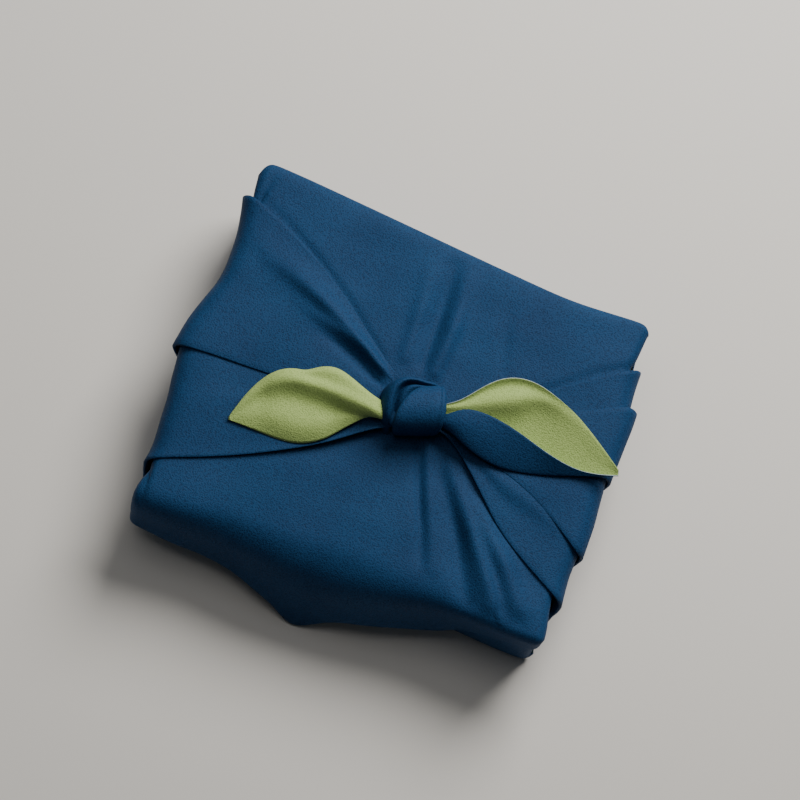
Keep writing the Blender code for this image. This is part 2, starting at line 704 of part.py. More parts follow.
def main():
    for thing in list(bpy.data.objects):
        bpy.data.objects.remove(thing)
    parcel = new_collection("furoshiki wrap")
    pieces = new_collection("tied pieces")
    blue = principled("deep blue cloth", (0.012, 0.055, 0.12, 1.0), 0.55)
    cloth = wrapped_sheet().make("cloth", parcel, blue)
    thicken(cloth)
    others = [make_lump(lump, pieces, blue) for lump in LUMPS]
    others.append(make_arch(pieces, blue))
    for name, sheet in (("left end", left_end_sheet()), ("right end", right_end_sheet())):
        end = sheet.make(name, pieces, blue)
        thicken(end)
        others.append(end)
    join_to(cloth, others)
    keep_outer_shell(cloth)
    make_box(parcel)


if __name__ == "__main__":
    main()
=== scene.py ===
"""Furoshiki wrap tied round a box: its cloth, knot and free ends, and the studio round them.

Each piece is drawn as a coarse open sheet in millimetres, refined with Subdivision Surface, given
its soft folds, and made solid with Solidify. The blue face of the cloth is outside and the green
one inside. X runs along the box, -Y is the front and the floor is at z = 0.
"""

import math
from collections import namedtuple

import bmesh
import bpy
import numpy as np
from bpy.props import FloatProperty, FloatVectorProperty, IntProperty, PointerProperty
from mathutils import Matrix, Vector


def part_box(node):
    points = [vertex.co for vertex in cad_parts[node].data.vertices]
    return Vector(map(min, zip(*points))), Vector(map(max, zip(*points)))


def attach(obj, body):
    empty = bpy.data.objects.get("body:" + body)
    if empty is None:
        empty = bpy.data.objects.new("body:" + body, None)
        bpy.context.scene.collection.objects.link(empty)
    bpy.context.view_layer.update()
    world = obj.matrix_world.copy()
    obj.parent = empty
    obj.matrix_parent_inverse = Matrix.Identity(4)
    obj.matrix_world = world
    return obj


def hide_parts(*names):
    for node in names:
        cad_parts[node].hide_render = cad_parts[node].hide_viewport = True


bl_info = {
    "name": "Furoshiki Wrap",
    "version": (1, 0, 0),
    "blender": (4, 5, 0),
    "location": "3D View > Sidebar > Furoshiki",
    "description": "Builds a box wrapped in a knotted furoshiki cloth, with its studio",
    "category": "Object",
}

MM = 0.001

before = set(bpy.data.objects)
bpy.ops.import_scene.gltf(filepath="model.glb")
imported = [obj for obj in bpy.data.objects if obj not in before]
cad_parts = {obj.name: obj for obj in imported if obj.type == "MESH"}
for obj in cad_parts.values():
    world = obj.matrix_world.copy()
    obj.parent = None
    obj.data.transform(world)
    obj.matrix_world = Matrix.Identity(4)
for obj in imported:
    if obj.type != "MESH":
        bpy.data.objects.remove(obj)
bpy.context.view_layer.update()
BOX_LOW, BOX_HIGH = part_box("box")


def srgb(hex_colour):
    """A hex sRGB colour as linear red, green, blue and a full alpha."""
    parts = [int(hex_colour[i : i + 2], 16) / 255 for i in (1, 3, 5)]
    return (*(p / 12.92 if p <= 0.04045 else ((p + 0.055) / 1.055) ** 2.4 for p in parts), 1.0)


# ---------------- sizes of the parcel, in mm

# The cloth's room around the box: at each end, at each long side and above
END_ROOM, SIDE_ROOM, TOP_ROOM = 6.5, 7.0, 5.9
LENGTH = (BOX_HIGH.x - BOX_LOW.x) / MM + 2 * END_ROOM
WIDTH = (BOX_HIGH.y - BOX_LOW.y) / MM + 2 * SIDE_ROOM
HEIGHT = BOX_HIGH.z / MM + TOP_ROOM
# Half of the modelled layer, and the step from one layer to the next at the ends and on the top
HALF, PITCH, FLAT_PITCH = 0.6, 1.6, 0.6
SIDE_Y = WIDTH / 2 - HALF
TOP_Z = HEIGHT - HALF
# Radius of the wrap's edges, of the near corner over the front edge, and of the wings where they
# come up over the ends; and the steps that a bend is drawn in
EDGE_BEND, FRONT_BEND, WING_BEND, ARC_STEPS = 6.0, 5.0, 12.0, 3
# The near corner lies hidden on the box, turned under at the back with its tip forward again: y of
# the tip, of the turn and of a row in front of that, half its breadth at the turn and at the tip,
# its room above the box, and the step between its two layers
NEAR_TIP_Y, NEAR_TURN_Y, NEAR_ROW_Y = -47.0, 94.2, -20.0
NEAR_HALF, NEAR_TIP_HALF = 121.0, 2.0
NEAR_ROOM, NEAR_PITCH = 1.6, 0.8
# The layers on the ends from the inside out: the ears of the front and the back, the skirt of the
# top, and the wing; how far the first two reach there, and in how many steps
EAR_X = LENGTH / 2 - HALF - 2 * PITCH
SKIRT_X = LENGTH / 2 - HALF - PITCH
WING_X = LENGTH / 2 - HALF
EAR, SKIRT, REACH_STEPS = 45.0, 26.0, 2
# The skirt stops at this share of the top, before the far corner's roll
SKIRT_SHARE = 0.97
# How far the cloth from the top lies inside the cloth from the front and the back at a corner
CORNER_TUCK = 1.3
# The cloth under the wings is loose along the back's top edge and at the four corners, where it
# stands out past the plain outline: x and the extra y along the back, and the extra x and y at
# each corner
BACK_ROOM = [(-130, 14.4), (-121, 15.0), (60, -0.2), (84, -1.0), (120, 1.3)]
CORNER_ROOM = {(-1, -1): (4.8, 5.0), (1, -1): (4.0, 3.0), (-1, 1): (6.0, 0.0), (1, 1): (3.4, 0.0)}
# Where that room starts and the run over which it grows: along y and up z at the back, along x at
# the ends and along the front, and along y at the corners
BACK_START, BACK_RUN, BACK_RISE = 88.0, 19.0, 50.0
END_START, END_RUN = 100.0, 28.0
FRONT_START, FRONT_RUN = 60.0, 60.0
CORNER_START, CORNER_RUN = 74.0, 29.0
# The base and the foot of a wing take part in it up to this height, and along x by this share
CORNER_LOW, LOW_SHARE = 36.0, 0.45
# Columns along the parcel, and rows across the top and down the far corner
COLUMN_COUNT, TOP_ROWS, HANG_ROWS = 26, 20, 9
COLUMNS = [-1.0 + 2.0 * i / (COLUMN_COUNT - 1) for i in range(COLUMN_COUNT)]
# The wings on the top: their height, their rise to the knot, the shape of the swell between two
# folds, how far the knot presses their layers together, and the steps from the edge to the knot
WING_TOP_Z = TOP_Z + 0.5
WING_RISE, RISE_POWER, RISE_START, RISE_RUN = 5.4, 2.1, 118.0, 100.0
SWELL_POWER, KNOT_SQUEEZE, RUN_STEPS = 0.8, 0.7, 6
# Their hidden tips in the knot: share of the way to its middle, the way on along x and up, and how
# far their layers are pressed together again
TIP_SHARE, TIP_RUN, TIP_RISE, TIP_SQUEEZE = 0.35, 14.0, 0.6, 0.9
# Fold lines start along the base spread by this factor and with this gap at least
BASE_SPREAD, BASE_GAP = 1.06, 1.7
# Shares of the climb up the end where a fold line has a point, and the one where a line turned
# under closes on its fold; at the bottom a line has only a share of its room
CLOSING = 0.55
CLIMB = (0.35, CLOSING, 0.77, 1.0)
LOW_ROOM = 0.35
# How sharp Subdivision Surface keeps the wings' pressed folds
FOLD_CREASE = 0.75
# A soft fold's breadth at its start and at its end, as shares of the breadth in the table
SOFT_START, SOFT_END = 0.75, 1.25
# The least upward part of the way out of the parcel, so that the way out always has a direction
LEAST_UP = 0.01

# The far corner where it rolls over the front edge, from left to right: start is the y where the
# roll begins, bend its radius, lean the angle it reaches and drop the cloth down to the hem
Roll = namedtuple("Roll", "x start bend lean drop")
ROLLS = [
    Roll(-128, -98, 14, 86, 50),
    Roll(-90, -97, 18, 80, 51),
    Roll(-72, -96, 22, 78, 55),
    Roll(-43, -96, 27, 73, 63),
    Roll(-29, -96, 29, 71, 70),
    Roll(-16, -96, 30, 70, 82),
    Roll(9, -96, 28, 72, 64),
    Roll(48, -98, 18, 80, 54),
    Roll(72, -100, 11, 86, 50),
    Roll(83, -101.5, 8, 90, 42),
    Roll(96, -102, 6.5, 90, 28),
    Roll(128, -102, 6, 90, 22),
]

# The wings' fold lines from back to front: layer counts layers above the far corner's cloth, bulge
# is how far the line stands out at the end, swell how far it is raised on the top, and the other
# columns are y at the five stations, from the edge of the box to the knot
Fold = namedtuple("Fold", "name layer bulge swell edge outer middle inner knot")


def panel(layer, bulge, swell, *ys):
    """A line in the smooth cloth between two pressed folds."""
    return Fold("panel", layer, bulge, swell, *ys)


def pressed(kind, layers, bulge, *ys):
    """The two lines of a pressed fold, one on the other, on their layers from back to front."""
    names = [f"{kind}_lower", f"{kind}_upper"]
    if layers[0] > layers[1]:
        names.reverse()
    return [Fold(name, layer, bulge, 0.0, *ys) for name, layer in zip(names, layers)]


LEFT_STATIONS = (133.0, 100.0, 60.0, 30.0, 12.0)
LEFT_FOLDS = [
    Fold("hem_under", 0.5, 1.0, 0.0, 80, 68.5, 47, 25, 11),
    *pressed("hem", (1, 2), 5.5, 95, 81, 56.5, 32, 17),
    panel(1, 4.0, 0.4, 84, 73.5, 52, 29.5, 15),
    panel(1, 1.4, 1.0, 72, 63, 46, 26, 12.5),
    panel(1, 0.6, 1.0, 63, 55, 40.5, 22.5, 10.5),
    panel(1, 0.4, 0.8, 54, 47, 35, 19, 8.5),
    panel(1.1, 0.8, 0.6, 46, 39.5, 30, 16.2, 6.9),
    panel(1.3, 1.4, 0.6, 39, 33.5, 25, 13.8, 5.4),
    panel(1.5, 2.4, 0.6, 33, 28, 20.5, 11.4, 4),
    panel(1.9, 5.2, 1.0, 24, 20, 14, 7.6, 1.8),
    panel(2.5, 8.6, 1.2, 8, 6, 3, 1.5, -1.5),
    *pressed("pleat", (3.4, 2.4), 9.6, -12.5, -11, -10, -7, -5),
    *pressed("tuck", (2, 1), 9.0, -3, -2.5, -3, -2, -2.5),
    panel(1, 8.0, 0.0, -22, -20, -17, -11.5, -8),
    panel(1, 7.2, 0.0, -31, -27, -21.5, -14.2, -9.5),
    panel(1, 5.6, 1.8, -40, -34.5, -27, -17.5, -11.2),
    panel(1, 4.8, 1.0, -47, -40.5, -31, -20.5, -12.9),
    panel(1, 4.2, 1.0, -54, -46, -35, -23.5, -14.5),
    panel(1, 3.0, 0.8, -68, -58, -44, -30, -17.5),
    panel(1, 2.5, 0.3, -79, -67, -50.5, -34, -20),
    *pressed("hem", (2, 1), 2.5, -87, -74, -55, -37, -22),
    Fold("hem_under", 0.5, 2.0, 0.0, -78, -62, -45, -30, -18),
]
RIGHT_STATIONS = (133.0, 105.0, 80.0, 55.0, 35.0)
RIGHT_FOLDS = [
    Fold("hem_under", 0.5, 0.4, 0.0, 68, 50, 30, 14, 6),
    *pressed("hem", (1, 2), 2.2, 77.5, 59.5, 39, 20, 9),
    panel(1.4, 2.8, 0.0, 66, 51.5, 33, 17, 7.5),
    *pressed("tuck", (3.4, 4.4), 2.3, 41, 27, 16, 8.5, 4),
    *pressed("pleat", (4.8, 5.8), 2.3, 50.5, 36, 23, 12, 5),
    panel(5.8, 2.3, 1.2, 36, 22, 10, 4, 2.5),
    panel(5.8, 1.7, 1.2, 19, 7, -3, -3, 1),
    *pressed("pleat", (5.8, 4.8), 1.1, 2.5, -6, -14.5, -10, -3),
    *pressed("tuck", (4.4, 3.4), 1.3, 11, 2, -8, -6.5, -1),
    panel(3.4, 2.3, 0.4, -12, -12.5, -16.2, -11.2, -4.2),
    panel(3.4, 3.1, 0.4, -32, -22, -17.6, -12, -4.8),
    *pressed("pleat", (3.4, 2.4), 3.7, -49, -30, -19, -12.8, -5.5),
    *pressed("tuck", (2, 1), 3.7, -40, -23, -15, -11, -4.5),
    panel(1, 3.9, 2.8, -46, -33, -26.5, -14.2, -5.4),
    panel(1, 3.9, 0.0, -51, -38, -33, -17.2, -6.4),
    panel(1, 3.7, 0.6, -68, -51, -40.5, -20.5, -7.4),
    *pressed("hem", (2, 1), 3.4, -81, -66, -49.5, -24.5, -8.5),
    Fold("hem_under", 0.5, 0.8, 0.0, -72, -54, -41, -20, -7),
]

# Soft folds that the knot's pull leaves in each part of the cloth: ridges, or troughs where the
# heights are negative, along a curve from the knot outwards. start, middle and end are heights,
# port and starboard the widths to the left and right of the curve
Soft = namedtuple("Soft", "start middle end port starboard points")
SOFT_FOLDS = {
    "top": [
        Soft(-2.2, -2.8, -1.0, 2.4, 3.2, ((20, -18), (27, -38.4), (34, -56.4), (41, -73.4), (46, -88))),
        Soft(1.2, 2.0, 1.0, 5.0, 3.4, ((24, -18), (31, -37), (38, -55), (45, -72), (51, -88))),
        Soft(1.4, 5.6, 4.6, 8.0, 5.5, ((42, -27), (57, -46), (68, -60), (79, -74), (95, -96))),
        Soft(-0.5, -2.6, -2.4, 4.5, 5.0, ((36, -25), (50.5, -47.5), (60.5, -63.5), (68.5, -80.5),
             (80, -103))),
        Soft(1.6, 4.2, 3.4, 7.0, 4.5, ((66, -44), (78, -55.5), (91, -69.5), (100, -80.5), (110, -94))),
        Soft(-0.8, -2.4, -2.0, 4.0, 3.5, ((71.5, -60), (84.5, -74), (93.5, -85), (101, -97))),
        Soft(2.6, 4.4, 1.4, 5.5, 6.0, ((13, 28), (14, 50), (14, 68), (12, 92))),
        Soft(1.6, 2.4, 0.6, 5.0, 4.0, ((-7, 30), (-8, 52), (-9, 72), (-11, 90))),
        Soft(-1.8, -2.6, -1.2, 4.5, 4.0, ((5, 30), (4.5, 54), (4, 76), (2, 98))),
        Soft(-0.6, -1.0, -0.2, 4.5, 3.5, ((52, 44), (49, 58), (46, 73), (44, 88))),
        Soft(-1.0, -1.5, -1.2, 1.9, 1.9, ((-20, 24), (-30, 33.2), (-60, 57.8), (-100, 82.4),
             (-128, 95))),
        Soft(-1.2, -1.6, -1.2, 2.0, 2.0, ((35, 10.8), (55, 21.8), (80, 40.8), (105, 61.2), (131, 79))),
        Soft(-2.0, -2.6, -1.6, 1.8, 2.0, ((-129.5, 86), (-128, 94), (-126, 104), (-123, 115))),
        Soft(-1.6, -2.2, -1.2, 2.0, 2.0, ((-129.5, -90), (-129, -100), (-127.5, -112))),
    ],
    "left_wing": [
        Soft(1.4, 4.8, 1.2, 4.5, 8.0, ((-27, 22.5), (-40, 31), (-53, 38), (-65, 43.5), (-79, 50),
             (-92, 55.5), (-107, 60))),
        Soft(4.2, 3.6, 0.3, 3.4, 5.0, ((-17, 15), (-24, 19), (-33, 24.5), (-44, 28.5), (-54, 31.5),
             (-67, 35), (-82, 41))),
        Soft(-1.8, -2.0, 0.0, 3.5, 3.0, ((-18, 7.5), (-25, 11), (-34, 16.5), (-45, 20.5), (-55, 23.5),
             (-68, 27))),
    ],
}
# The parts of the cloth that wave
LOOSE_PARTS = ("top", "left_wing", "right_wing")

# Waves of the loose cloth: direction in degrees, length and height in mm, and phase
Wave = namedtuple("Wave", "heading length height phase")
WAVES = [
    Wave(12, 61, 0.28, 0.4),
    Wave(71, 83, 0.30, 2.1),
    Wave(128, 47, 0.20, 4.0),
    Wave(160, 31, 0.10, 1.3),
    Wave(97, 23, 0.07, 5.2),
]

# ---------------- the knot and the free ends, in mm
# They are drawn in the knot's own axes: x across it, y away from the front, and z up

KNOT_AT = Vector((9.0, -4.0, 72.0))
KNOT_TURN = math.radians(20.5)
KNOT_FRAME = Matrix.Translation(KNOT_AT * MM) @ Matrix.Rotation(KNOT_TURN, 4, "Z")
# The core's half sizes, and the power that makes it a block with soft corners
CORE_HALVES, CORE_SQUARE = (17.0, 12.0, 4.5), 2.6

# The band that passes over the knot: its middle line from back to front, and its two sides
Band = namedtuple("Band", "y z left right")
BAND = [
    Band(15, 3, 6, 17.5),
    Band(14.6, 10, 5, 18.6),
    Band(11, 14.6, -1, 19),
    Band(4.5, 16.8, -7, 19),
    Band(-3, 17, -10.8, 18.6),
    Band(-9.5, 14.4, -12.8, 17.6),
    Band(-13.4, 8.6, -13.2, 16.6),
    Band(-14.6, 0.5, -12.6, 15.6),
    Band(-13, -7, -11.5, 14.6),
]
# Across the band: a share of its breadth, and how far the cloth drops there
BAND_ACROSS = [
    (0.05, 9.0), (0.0, 5.0), (-0.01, 2.0), (0.02, 0.5), (0.1, 0.1), (0.34, 0.0), (0.56, 0.0),
    (0.8, 0.0), (0.86, 0.6), (0.91, 0.1), (0.96, 0.3), (1.0, 1.6), (1.02, 4.2), (0.97, 9.0),
]
# The roll that arches round the band, as points from its foot at the left over the top to the
# right. Across it: the outer edge, the flank, the crest, its lip, the hollow, the inner roll and
# the crease where it meets the band
ARCH = [
    ((-17.5, -12, -15), (-18, -12, -13), (-16.5, -12, -11), (-14.2, -12, -11), (-13.2, -12, -13),
     (-12, -11, -13), (-9, -11, -12)),
    ((-18.5, -8, -9), (-19.2, -7.6, -2), (-17.2, -7.5, 3.5), (-14.8, -7.5, 3.5), (-13.6, -7.5, -3),
     (-12, -8, -3), (-9, -8, 0)),
    ((-20, -3, -6), (-20.4, -2.5, 3), (-17.6, -2.5, 8.5), (-14.6, -2.5, 8.8), (-13.2, -2.6, 1),
     (-11.2, -3, 2.5), (-8, -3.5, 6)),
    ((-20.6, 4, -4), (-20.8, 4, 4.5), (-17, 4, 11), (-13.4, 4.2, 12.4), (-12, 4.2, 3.5),
     (-9.8, 3.8, 8.6), (-6.8, 3, 9)),
    ((-19.8, 11.5, -3), (-19.4, 11.5, 5), (-15.8, 11.2, 12), (-11.8, 9.6, 14.6), (-10.2, 9.2, 4.6),
     (-7.8, 8.4, 12), (-4.6, 6.4, 9.5)),
    ((-15.6, 18, -3), (-15, 17.4, 5), (-12.4, 16.4, 13), (-9.4, 13.6, 15.6), (-8, 12.8, 5.6),
     (-5.6, 11.4, 13.2), (-2.2, 9, 10)),
    ((-7, 21.8, -3), (-6.6, 21.2, 5), (-5.2, 19.4, 13), (-4.2, 16.8, 15.6), (-3.5, 15.8, 6.4),
     (-2.2, 13.8, 14), (0.6, 11, 10.5)),
    ((1.2, 21.2, -3), (1.6, 20.4, 5), (2.2, 18.6, 12.4), (2.2, 16.4, 14.8), (2.3, 15.4, 7.2),
     (2.6, 13.7, 13.6), (4, 12, 11)),
    ((8.6, 19.4, -3), (8.5, 18.6, 4), (8.2, 16.8, 10.6), (8, 15, 12.6), (7.8, 14.2, 8), (7.8, 13, 12.2),
     (8.2, 12, 11)),
    ((15.4, 18.4, -3), (15.2, 17.6, 2), (14.6, 16.4, 7.6), (14.2, 15.4, 9.4), (14.1, 14.8, 6.6),
     (14, 14, 8.8), (14, 13, 8)),
    ((19, 16, -8), (18.6, 15.4, -4), (17.6, 14.6, -1), (17, 14, 0.5), (16.8, 13.6, -1), (16.4, 13, 1),
     (16, 12.4, 0.5)),
]

# The left free end, from the knot to the tip: x and pairs of y and z. Across it: the far edge, a
# hump, a dip, the lit ridge, the deep fold, the belly and the near edge
LEFT_END = [
    (-15, (5, -1), (4, 0), (2, 0.5), (-1.5, 1), (-4.5, -1), (-5, -1.5), (-5.4, -2)),
    (-20, (6.2, 4), (4.5, 5.5), (2, 6), (-2.5, 6.8), (-5.2, 4), (-5, 2), (-4.6, 1)),
    (-27, (10, 6.5), (8, 8.5), (4, 9), (-0.5, 10.5), (-3.4, 5.6), (-3.4, 3), (-2.4, 1.6)),
    (-36, (18, 7), (15, 9.6), (9.5, 9), (3, 11.4), (-2.7, 2.2), (-3.2, 2.4), (-6.9, 0.2)),
    (-45, (25, 7.6), (21, 10.2), (14, 8.2), (7, 12), (0.6, 0.8), (-4.2, 2.1), (-11.4, -2.6)),
    (-52, (26.6, 7), (23, 9.6), (16.5, 6.8), (10.4, 12.2), (3, 0.2), (-7.2, 2.7), (-15.8, -3.2)),
    (-58.5, (26, 6.4), (23, 8.4), (19, 6), (12.6, 11.6), (5.2, -0.2), (-8.8, 3.1), (-18.1, -3.6)),
    (-66, (23.8, 5), (22.2, 6.6), (20.4, 6.6), (14.8, 10.6), (7.6, -0.6), (-8.8, 3.1), (-19.4, -4.4)),
    (-72.5, (25.6, 5.2), (23.4, 7), (21, 8), (16, 9.8), (9.8, -0.8), (-8.2, 2.9), (-19.2, -4.8)),
    (-80, (25.2, 4.4), (23.2, 6.2), (21.2, 7), (16.2, 8), (9.8, -1), (-6.2, 1.9), (-17.4, -5.4)),
    (-86.5, (23, 3.2), (21.5, 4.6), (19.6, 5.2), (15.2, 5.4), (8.4, -1.3), (-4, 0.7), (-15, -5.8)),
    (-93.5, (19.1, 0.1), (17.6, 1.1), (15.9, 1.4), (13.2, 1), (8.4, -2.6), (-1.8, -1.4), (-12, -6)),
    (-102.5, (10.4, -1.6), (8.9, -1), (7.4, -0.8), (5.5, -1.2), (2.6, -2.7), (-2.4, -3), (-8.5, -5.6)),
    (-112.5, (-3.2, -5.4), (-3.4, -5.4), (-3.6, -5.4), (-3.9, -5.4), (-4.2, -5.4), (-4.4, -5.4),
     (-4.6, -5.4)),
]
# The right free end in the same way. Across it: the standing far edge, the gutter below it, the
# lit crest, the foot of the crest, the green floor, the fold at the front, and the blue flap that
# turns there and comes back over it to the hem
RIGHT_END = [
    (12, (3, 3), (2.4, 3), (1, 3.6), (0, 2.4), (-1, 1.5), (-8, 0), (-8, 2), (-7, 4), (-3.5, 5)),
    (21, (3.6, 8), (2.8, 7), (1.2, 8.2), (-0.5, 6.6), (-2.5, 5.4), (-11, 3), (-11, 5.4), (-8.5, 8.6),
     (-3.4, 8.2)),
    (29.5, (5.5, 10.4), (4, 8.3), (1.5, 10.3), (-1.2, 7.2), (-4.5, 5.2), (-20.5, 1.6), (-20.5, 3.8),
     (-9, 10.6), (0.4, 10.1)),
    (40.5, (12.5, 12.8), (9.5, 9.2), (3, 12.3), (-2.3, 6.8), (-8.2, 2.7), (-28.6, -2), (-28.6, 0.2),
     (-12.2, 8.6), (-1.2, 9.4)),
    (52.5, (18.5, 14.1), (14.5, 9.2), (4, 14.4), (-2.6, 5.3), (-11.6, 0.3), (-34.2, -5), (-34.2, -2.8),
     (-19, 4.8), (-6.3, 8.2)),
    (65, (19.5, 14.1), (15.8, 9.8), (5.5, 14), (-2, 4.2), (-12.5, -0.8), (-36.6, -6.3), (-36.6, -4.3),
     (-25.4, 1.9), (-13.7, 6.4)),
    (77.5, (15.5, 12.6), (12.5, 9.8), (7.5, 10.2), (2.7, 4.2), (-14.4, -1.1), (-37.5, -6.5),
     (-37.5, -4.9), (-30.3, -0.4), (-22.7, 4.2)),
    (89.5, (7, 10.1), (5, 9), (2, 8.4), (-3.8, 4.8), (-19.4, -0.9), (-38, -5.8), (-38, -4.6),
     (-34.3, -1.4), (-30.2, 2)),
    (102, (-2.7, 5.4), (-4.7, 5.4), (-8.1, 4.3), (-13.6, 2.3), (-24.4, -1.3), (-37.9, -4.1),
     (-37.9, -3.3), (-36.9, -2.7), (-35.4, -1.5)),
    (114.5, (-18.8, 3.4), (-20.3, 3.4), (-22.8, 2.5), (-26.2, 1.7), (-31.6, -0.2), (-38.8, -1.5),
     (-38.8, -1.1), (-38.5, -0.7), (-38.1, 0)),
    (126, (-35.4, 1.9), (-35.9, 1.9), (-36.4, 1.5), (-36.8, 1.2), (-37.6, 0.6), (-38.5, 0.2),
     (-38.7, 0.3), (-38.7, 0.5), (-38.7, 0.9)),
]
# The row and the column of an end's point that says which way its blue face looks
END_SEEN = (6, 1)


# ---------------- small helpers


def between(a, b, share):
    return a + (b - a) * share


def smooth_step(share):
    share = min(1.0, max(0.0, share))
    return share * share * (3.0 - 2.0 * share)


def through(xs, ys, x):
    """The value at x of a smooth curve through the points, which follow in order along x."""
    if xs[0] > xs[-1]:
        xs, ys = xs[::-1], ys[::-1]
    x = min(xs[-1], max(xs[0], x))
    i = min(len(xs) - 2, max(k for k in range(len(xs)) if xs[k] <= x))
    step = xs[i + 1] - xs[i]
    slopes = []
    for k in (i, i + 1):
        low, high = max(0, k - 1), min(len(xs) - 1, k + 1)
        slopes.append((ys[high] - ys[low]) / (xs[high] - xs[low]) * step)
    t = (x - xs[i]) / step
    return (
        (2 * t**3 - 3 * t**2 + 1) * ys[i]
        + (t**3 - 2 * t**2 + t) * slopes[0]
        + (3 * t**2 - 2 * t**3) * ys[i + 1]
        + (t**3 - t**2) * slopes[1]
    )


def curve_points(points, per_span=6):
    """More points on the smooth curve through a few, as an array."""
    steps = list(range(len(points)))
    count = per_span * (len(points) - 1) + 1
    places = [i * (len(points) - 1) / (count - 1) for i in range(count)]
    return np.array([[through(steps, [p[axis] for p in points], t) for axis in (0, 1)] for t in places])


def add_to_scene(name, data):
    thing = bpy.data.objects.new(name, data)
    bpy.context.scene.collection.objects.link(thing)
    return thing


# ---------------- open sheets


class Sheet:
    """Points, faces, groups and creases of an open sheet that is drawn row by row."""

    def __init__(self):
        self.points = []
        self.faces = []
        self.groups = {}
        self.creases = []

    def add(self, point, group=None):
        self.points.append(Vector(point) * MM)
        index = len(self.points) - 1
        if group:
            self.groups.setdefault(group, []).append(index)
        return index

    def loft(self, rows):
        """Faces between neighbouring rows of point numbers, as far as both of them reach."""
        for first, second in zip(rows, rows[1:]):
            for k in range(min(len(first), len(second)) - 1):
                self.faces.append((first[k], first[k + 1], second[k + 1], second[k]))

    def crease(self, row):
        self.creases += zip(row, row[1:])

    def make(self, name, facing):
        """The sheet as an object. facing is a point and the way that the blue face looks there."""
        mesh = bpy.data.meshes.new(name)
        mesh.from_pydata([tuple(point) for point in self.points], [], self.faces)
        work = bmesh.new()
        work.from_mesh(mesh)
        bmesh.ops.recalc_face_normals(work, faces=work.faces)
        place, direction = (Vector(value) for value in facing)
        nearest = min(work.faces, key=lambda face: (face.calc_center_median() - place * MM).length)
        if nearest.normal.dot(direction) < 0:
            bmesh.ops.reverse_faces(work, faces=work.faces)
        work.to_mesh(mesh)
        work.free()
        if self.creases:
            numbers = {tuple(sorted(edge.vertices)): edge.index for edge in mesh.edges}
            layer = mesh.attributes.new("crease_edge", "FLOAT", "EDGE")
            for a, b in self.creases:
                layer.data[numbers[min(a, b), max(a, b)]].value = FOLD_CREASE
        thing = add_to_scene(name, mesh)
        for group, indices in self.groups.items():
            thing.vertex_groups.new(name=group).add(indices, 1.0, "REPLACE")
        return thing


def refine(thing, levels):
    """Subdivides the sheet and keeps the result as its mesh."""
    smooth = thing.modifiers.new("rounding", "SUBSURF")
    smooth.levels = smooth.render_levels = levels
    smooth.boundary_smooth = "PRESERVE_CORNERS"
    graph = bpy.context.evaluated_depsgraph_get()
    mesh = bpy.data.meshes.new_from_object(
        thing.evaluated_get(graph), preserve_all_data_layers=True, depsgraph=graph
    )
    thing.modifiers.clear()
    thing.data = mesh
    mesh.shade_smooth()


def places_of(thing):
    """The points of an object's mesh as an array, in mm."""
    flat = np.zeros(len(thing.data.vertices) * 3)
    thing.data.vertices.foreach_get("co", flat)
    return flat.reshape(-1, 3) / MM


def set_places(thing, places):
    thing.data.vertices.foreach_set("co", (places * MM).ravel())
    thing.data.update()


def group_weights(thing, name):
    index = thing.vertex_groups[name].index
    weights = np.zeros(len(thing.data.vertices))
    for vert in thing.data.vertices:
        for entry in vert.groups:
            if entry.group == index:
                weights[vert.index] = entry.weight
    return weights


def outwards(places):
    """The way out of the parcel at each point: up on the top, turning out over its edges."""
    past = np.zeros_like(places)
    for axis, reach in ((0, LENGTH / 2 - WING_BEND), (1, WIDTH / 2 - WING_BEND)):
        beyond = np.maximum(np.abs(places[:, axis]) - reach, 0.0)
        past[:, axis] = beyond * np.sign(places[:, axis])
    past[:, 2] = np.maximum(places[:, 2] - (HEIGHT - WING_BEND), LEAST_UP)
    return past / np.linalg.norm(past, axis=1, keepdims=True)


def fold_heights(places, fold):
    """How far a soft fold raises each point."""
    line = curve_points(fold.points)
    flat = places[:, :2]
    best = np.full(len(flat), np.inf)
    side = np.zeros(len(flat))
    along = np.zeros(len(flat))
    for k, (a, b) in enumerate(zip(line, line[1:])):
        step = b - a
        share = (flat - a) @ step / (step @ step)
        inside = np.clip(share, 0.0, 1.0)
        offset = flat - (a + inside[:, None] * step)
        distance = np.linalg.norm(offset, axis=1)
        closer = distance < best
        best[closer] = distance[closer]
        side[closer] = (step[0] * offset[:, 1] - step[1] * offset[:, 0])[closer]
        along[closer] = ((k + inside) / (len(line) - 1))[closer]
    width = np.where(side > 0, fold.port, fold.starboard) * between(SOFT_START, SOFT_END, along)
    height = np.where(
        along < 0.5,
        between(fold.start, fold.middle, along * 2),
        between(fold.middle, fold.end, along * 2 - 1),
    )
    return height * np.exp(-((best / width) ** 2))


def wave_heights(places):
    total = np.zeros(len(places))
    for wave in WAVES:
        heading = math.radians(wave.heading)
        run = places[:, 0] * math.cos(heading) + (places[:, 1] + places[:, 2]) * math.sin(heading)
        total += wave.height * np.sin(run * 2 * math.pi / wave.length + wave.phase)
    return total


def add_soft_folds(thing):
    """Raises the ridges, sinks the troughs and lets the loose cloth wave a little."""
    places = places_of(thing)
    weights = {part: group_weights(thing, part) for part in LOOSE_PARTS}
    height = wave_heights(places) * np.clip(sum(weights.values()), 0, 1)
    for part, folds in SOFT_FOLDS.items():
        for fold in folds:
            height += fold_heights(places, fold) * weights[part]
    set_places(thing, places + outwards(places) * height[:, None])


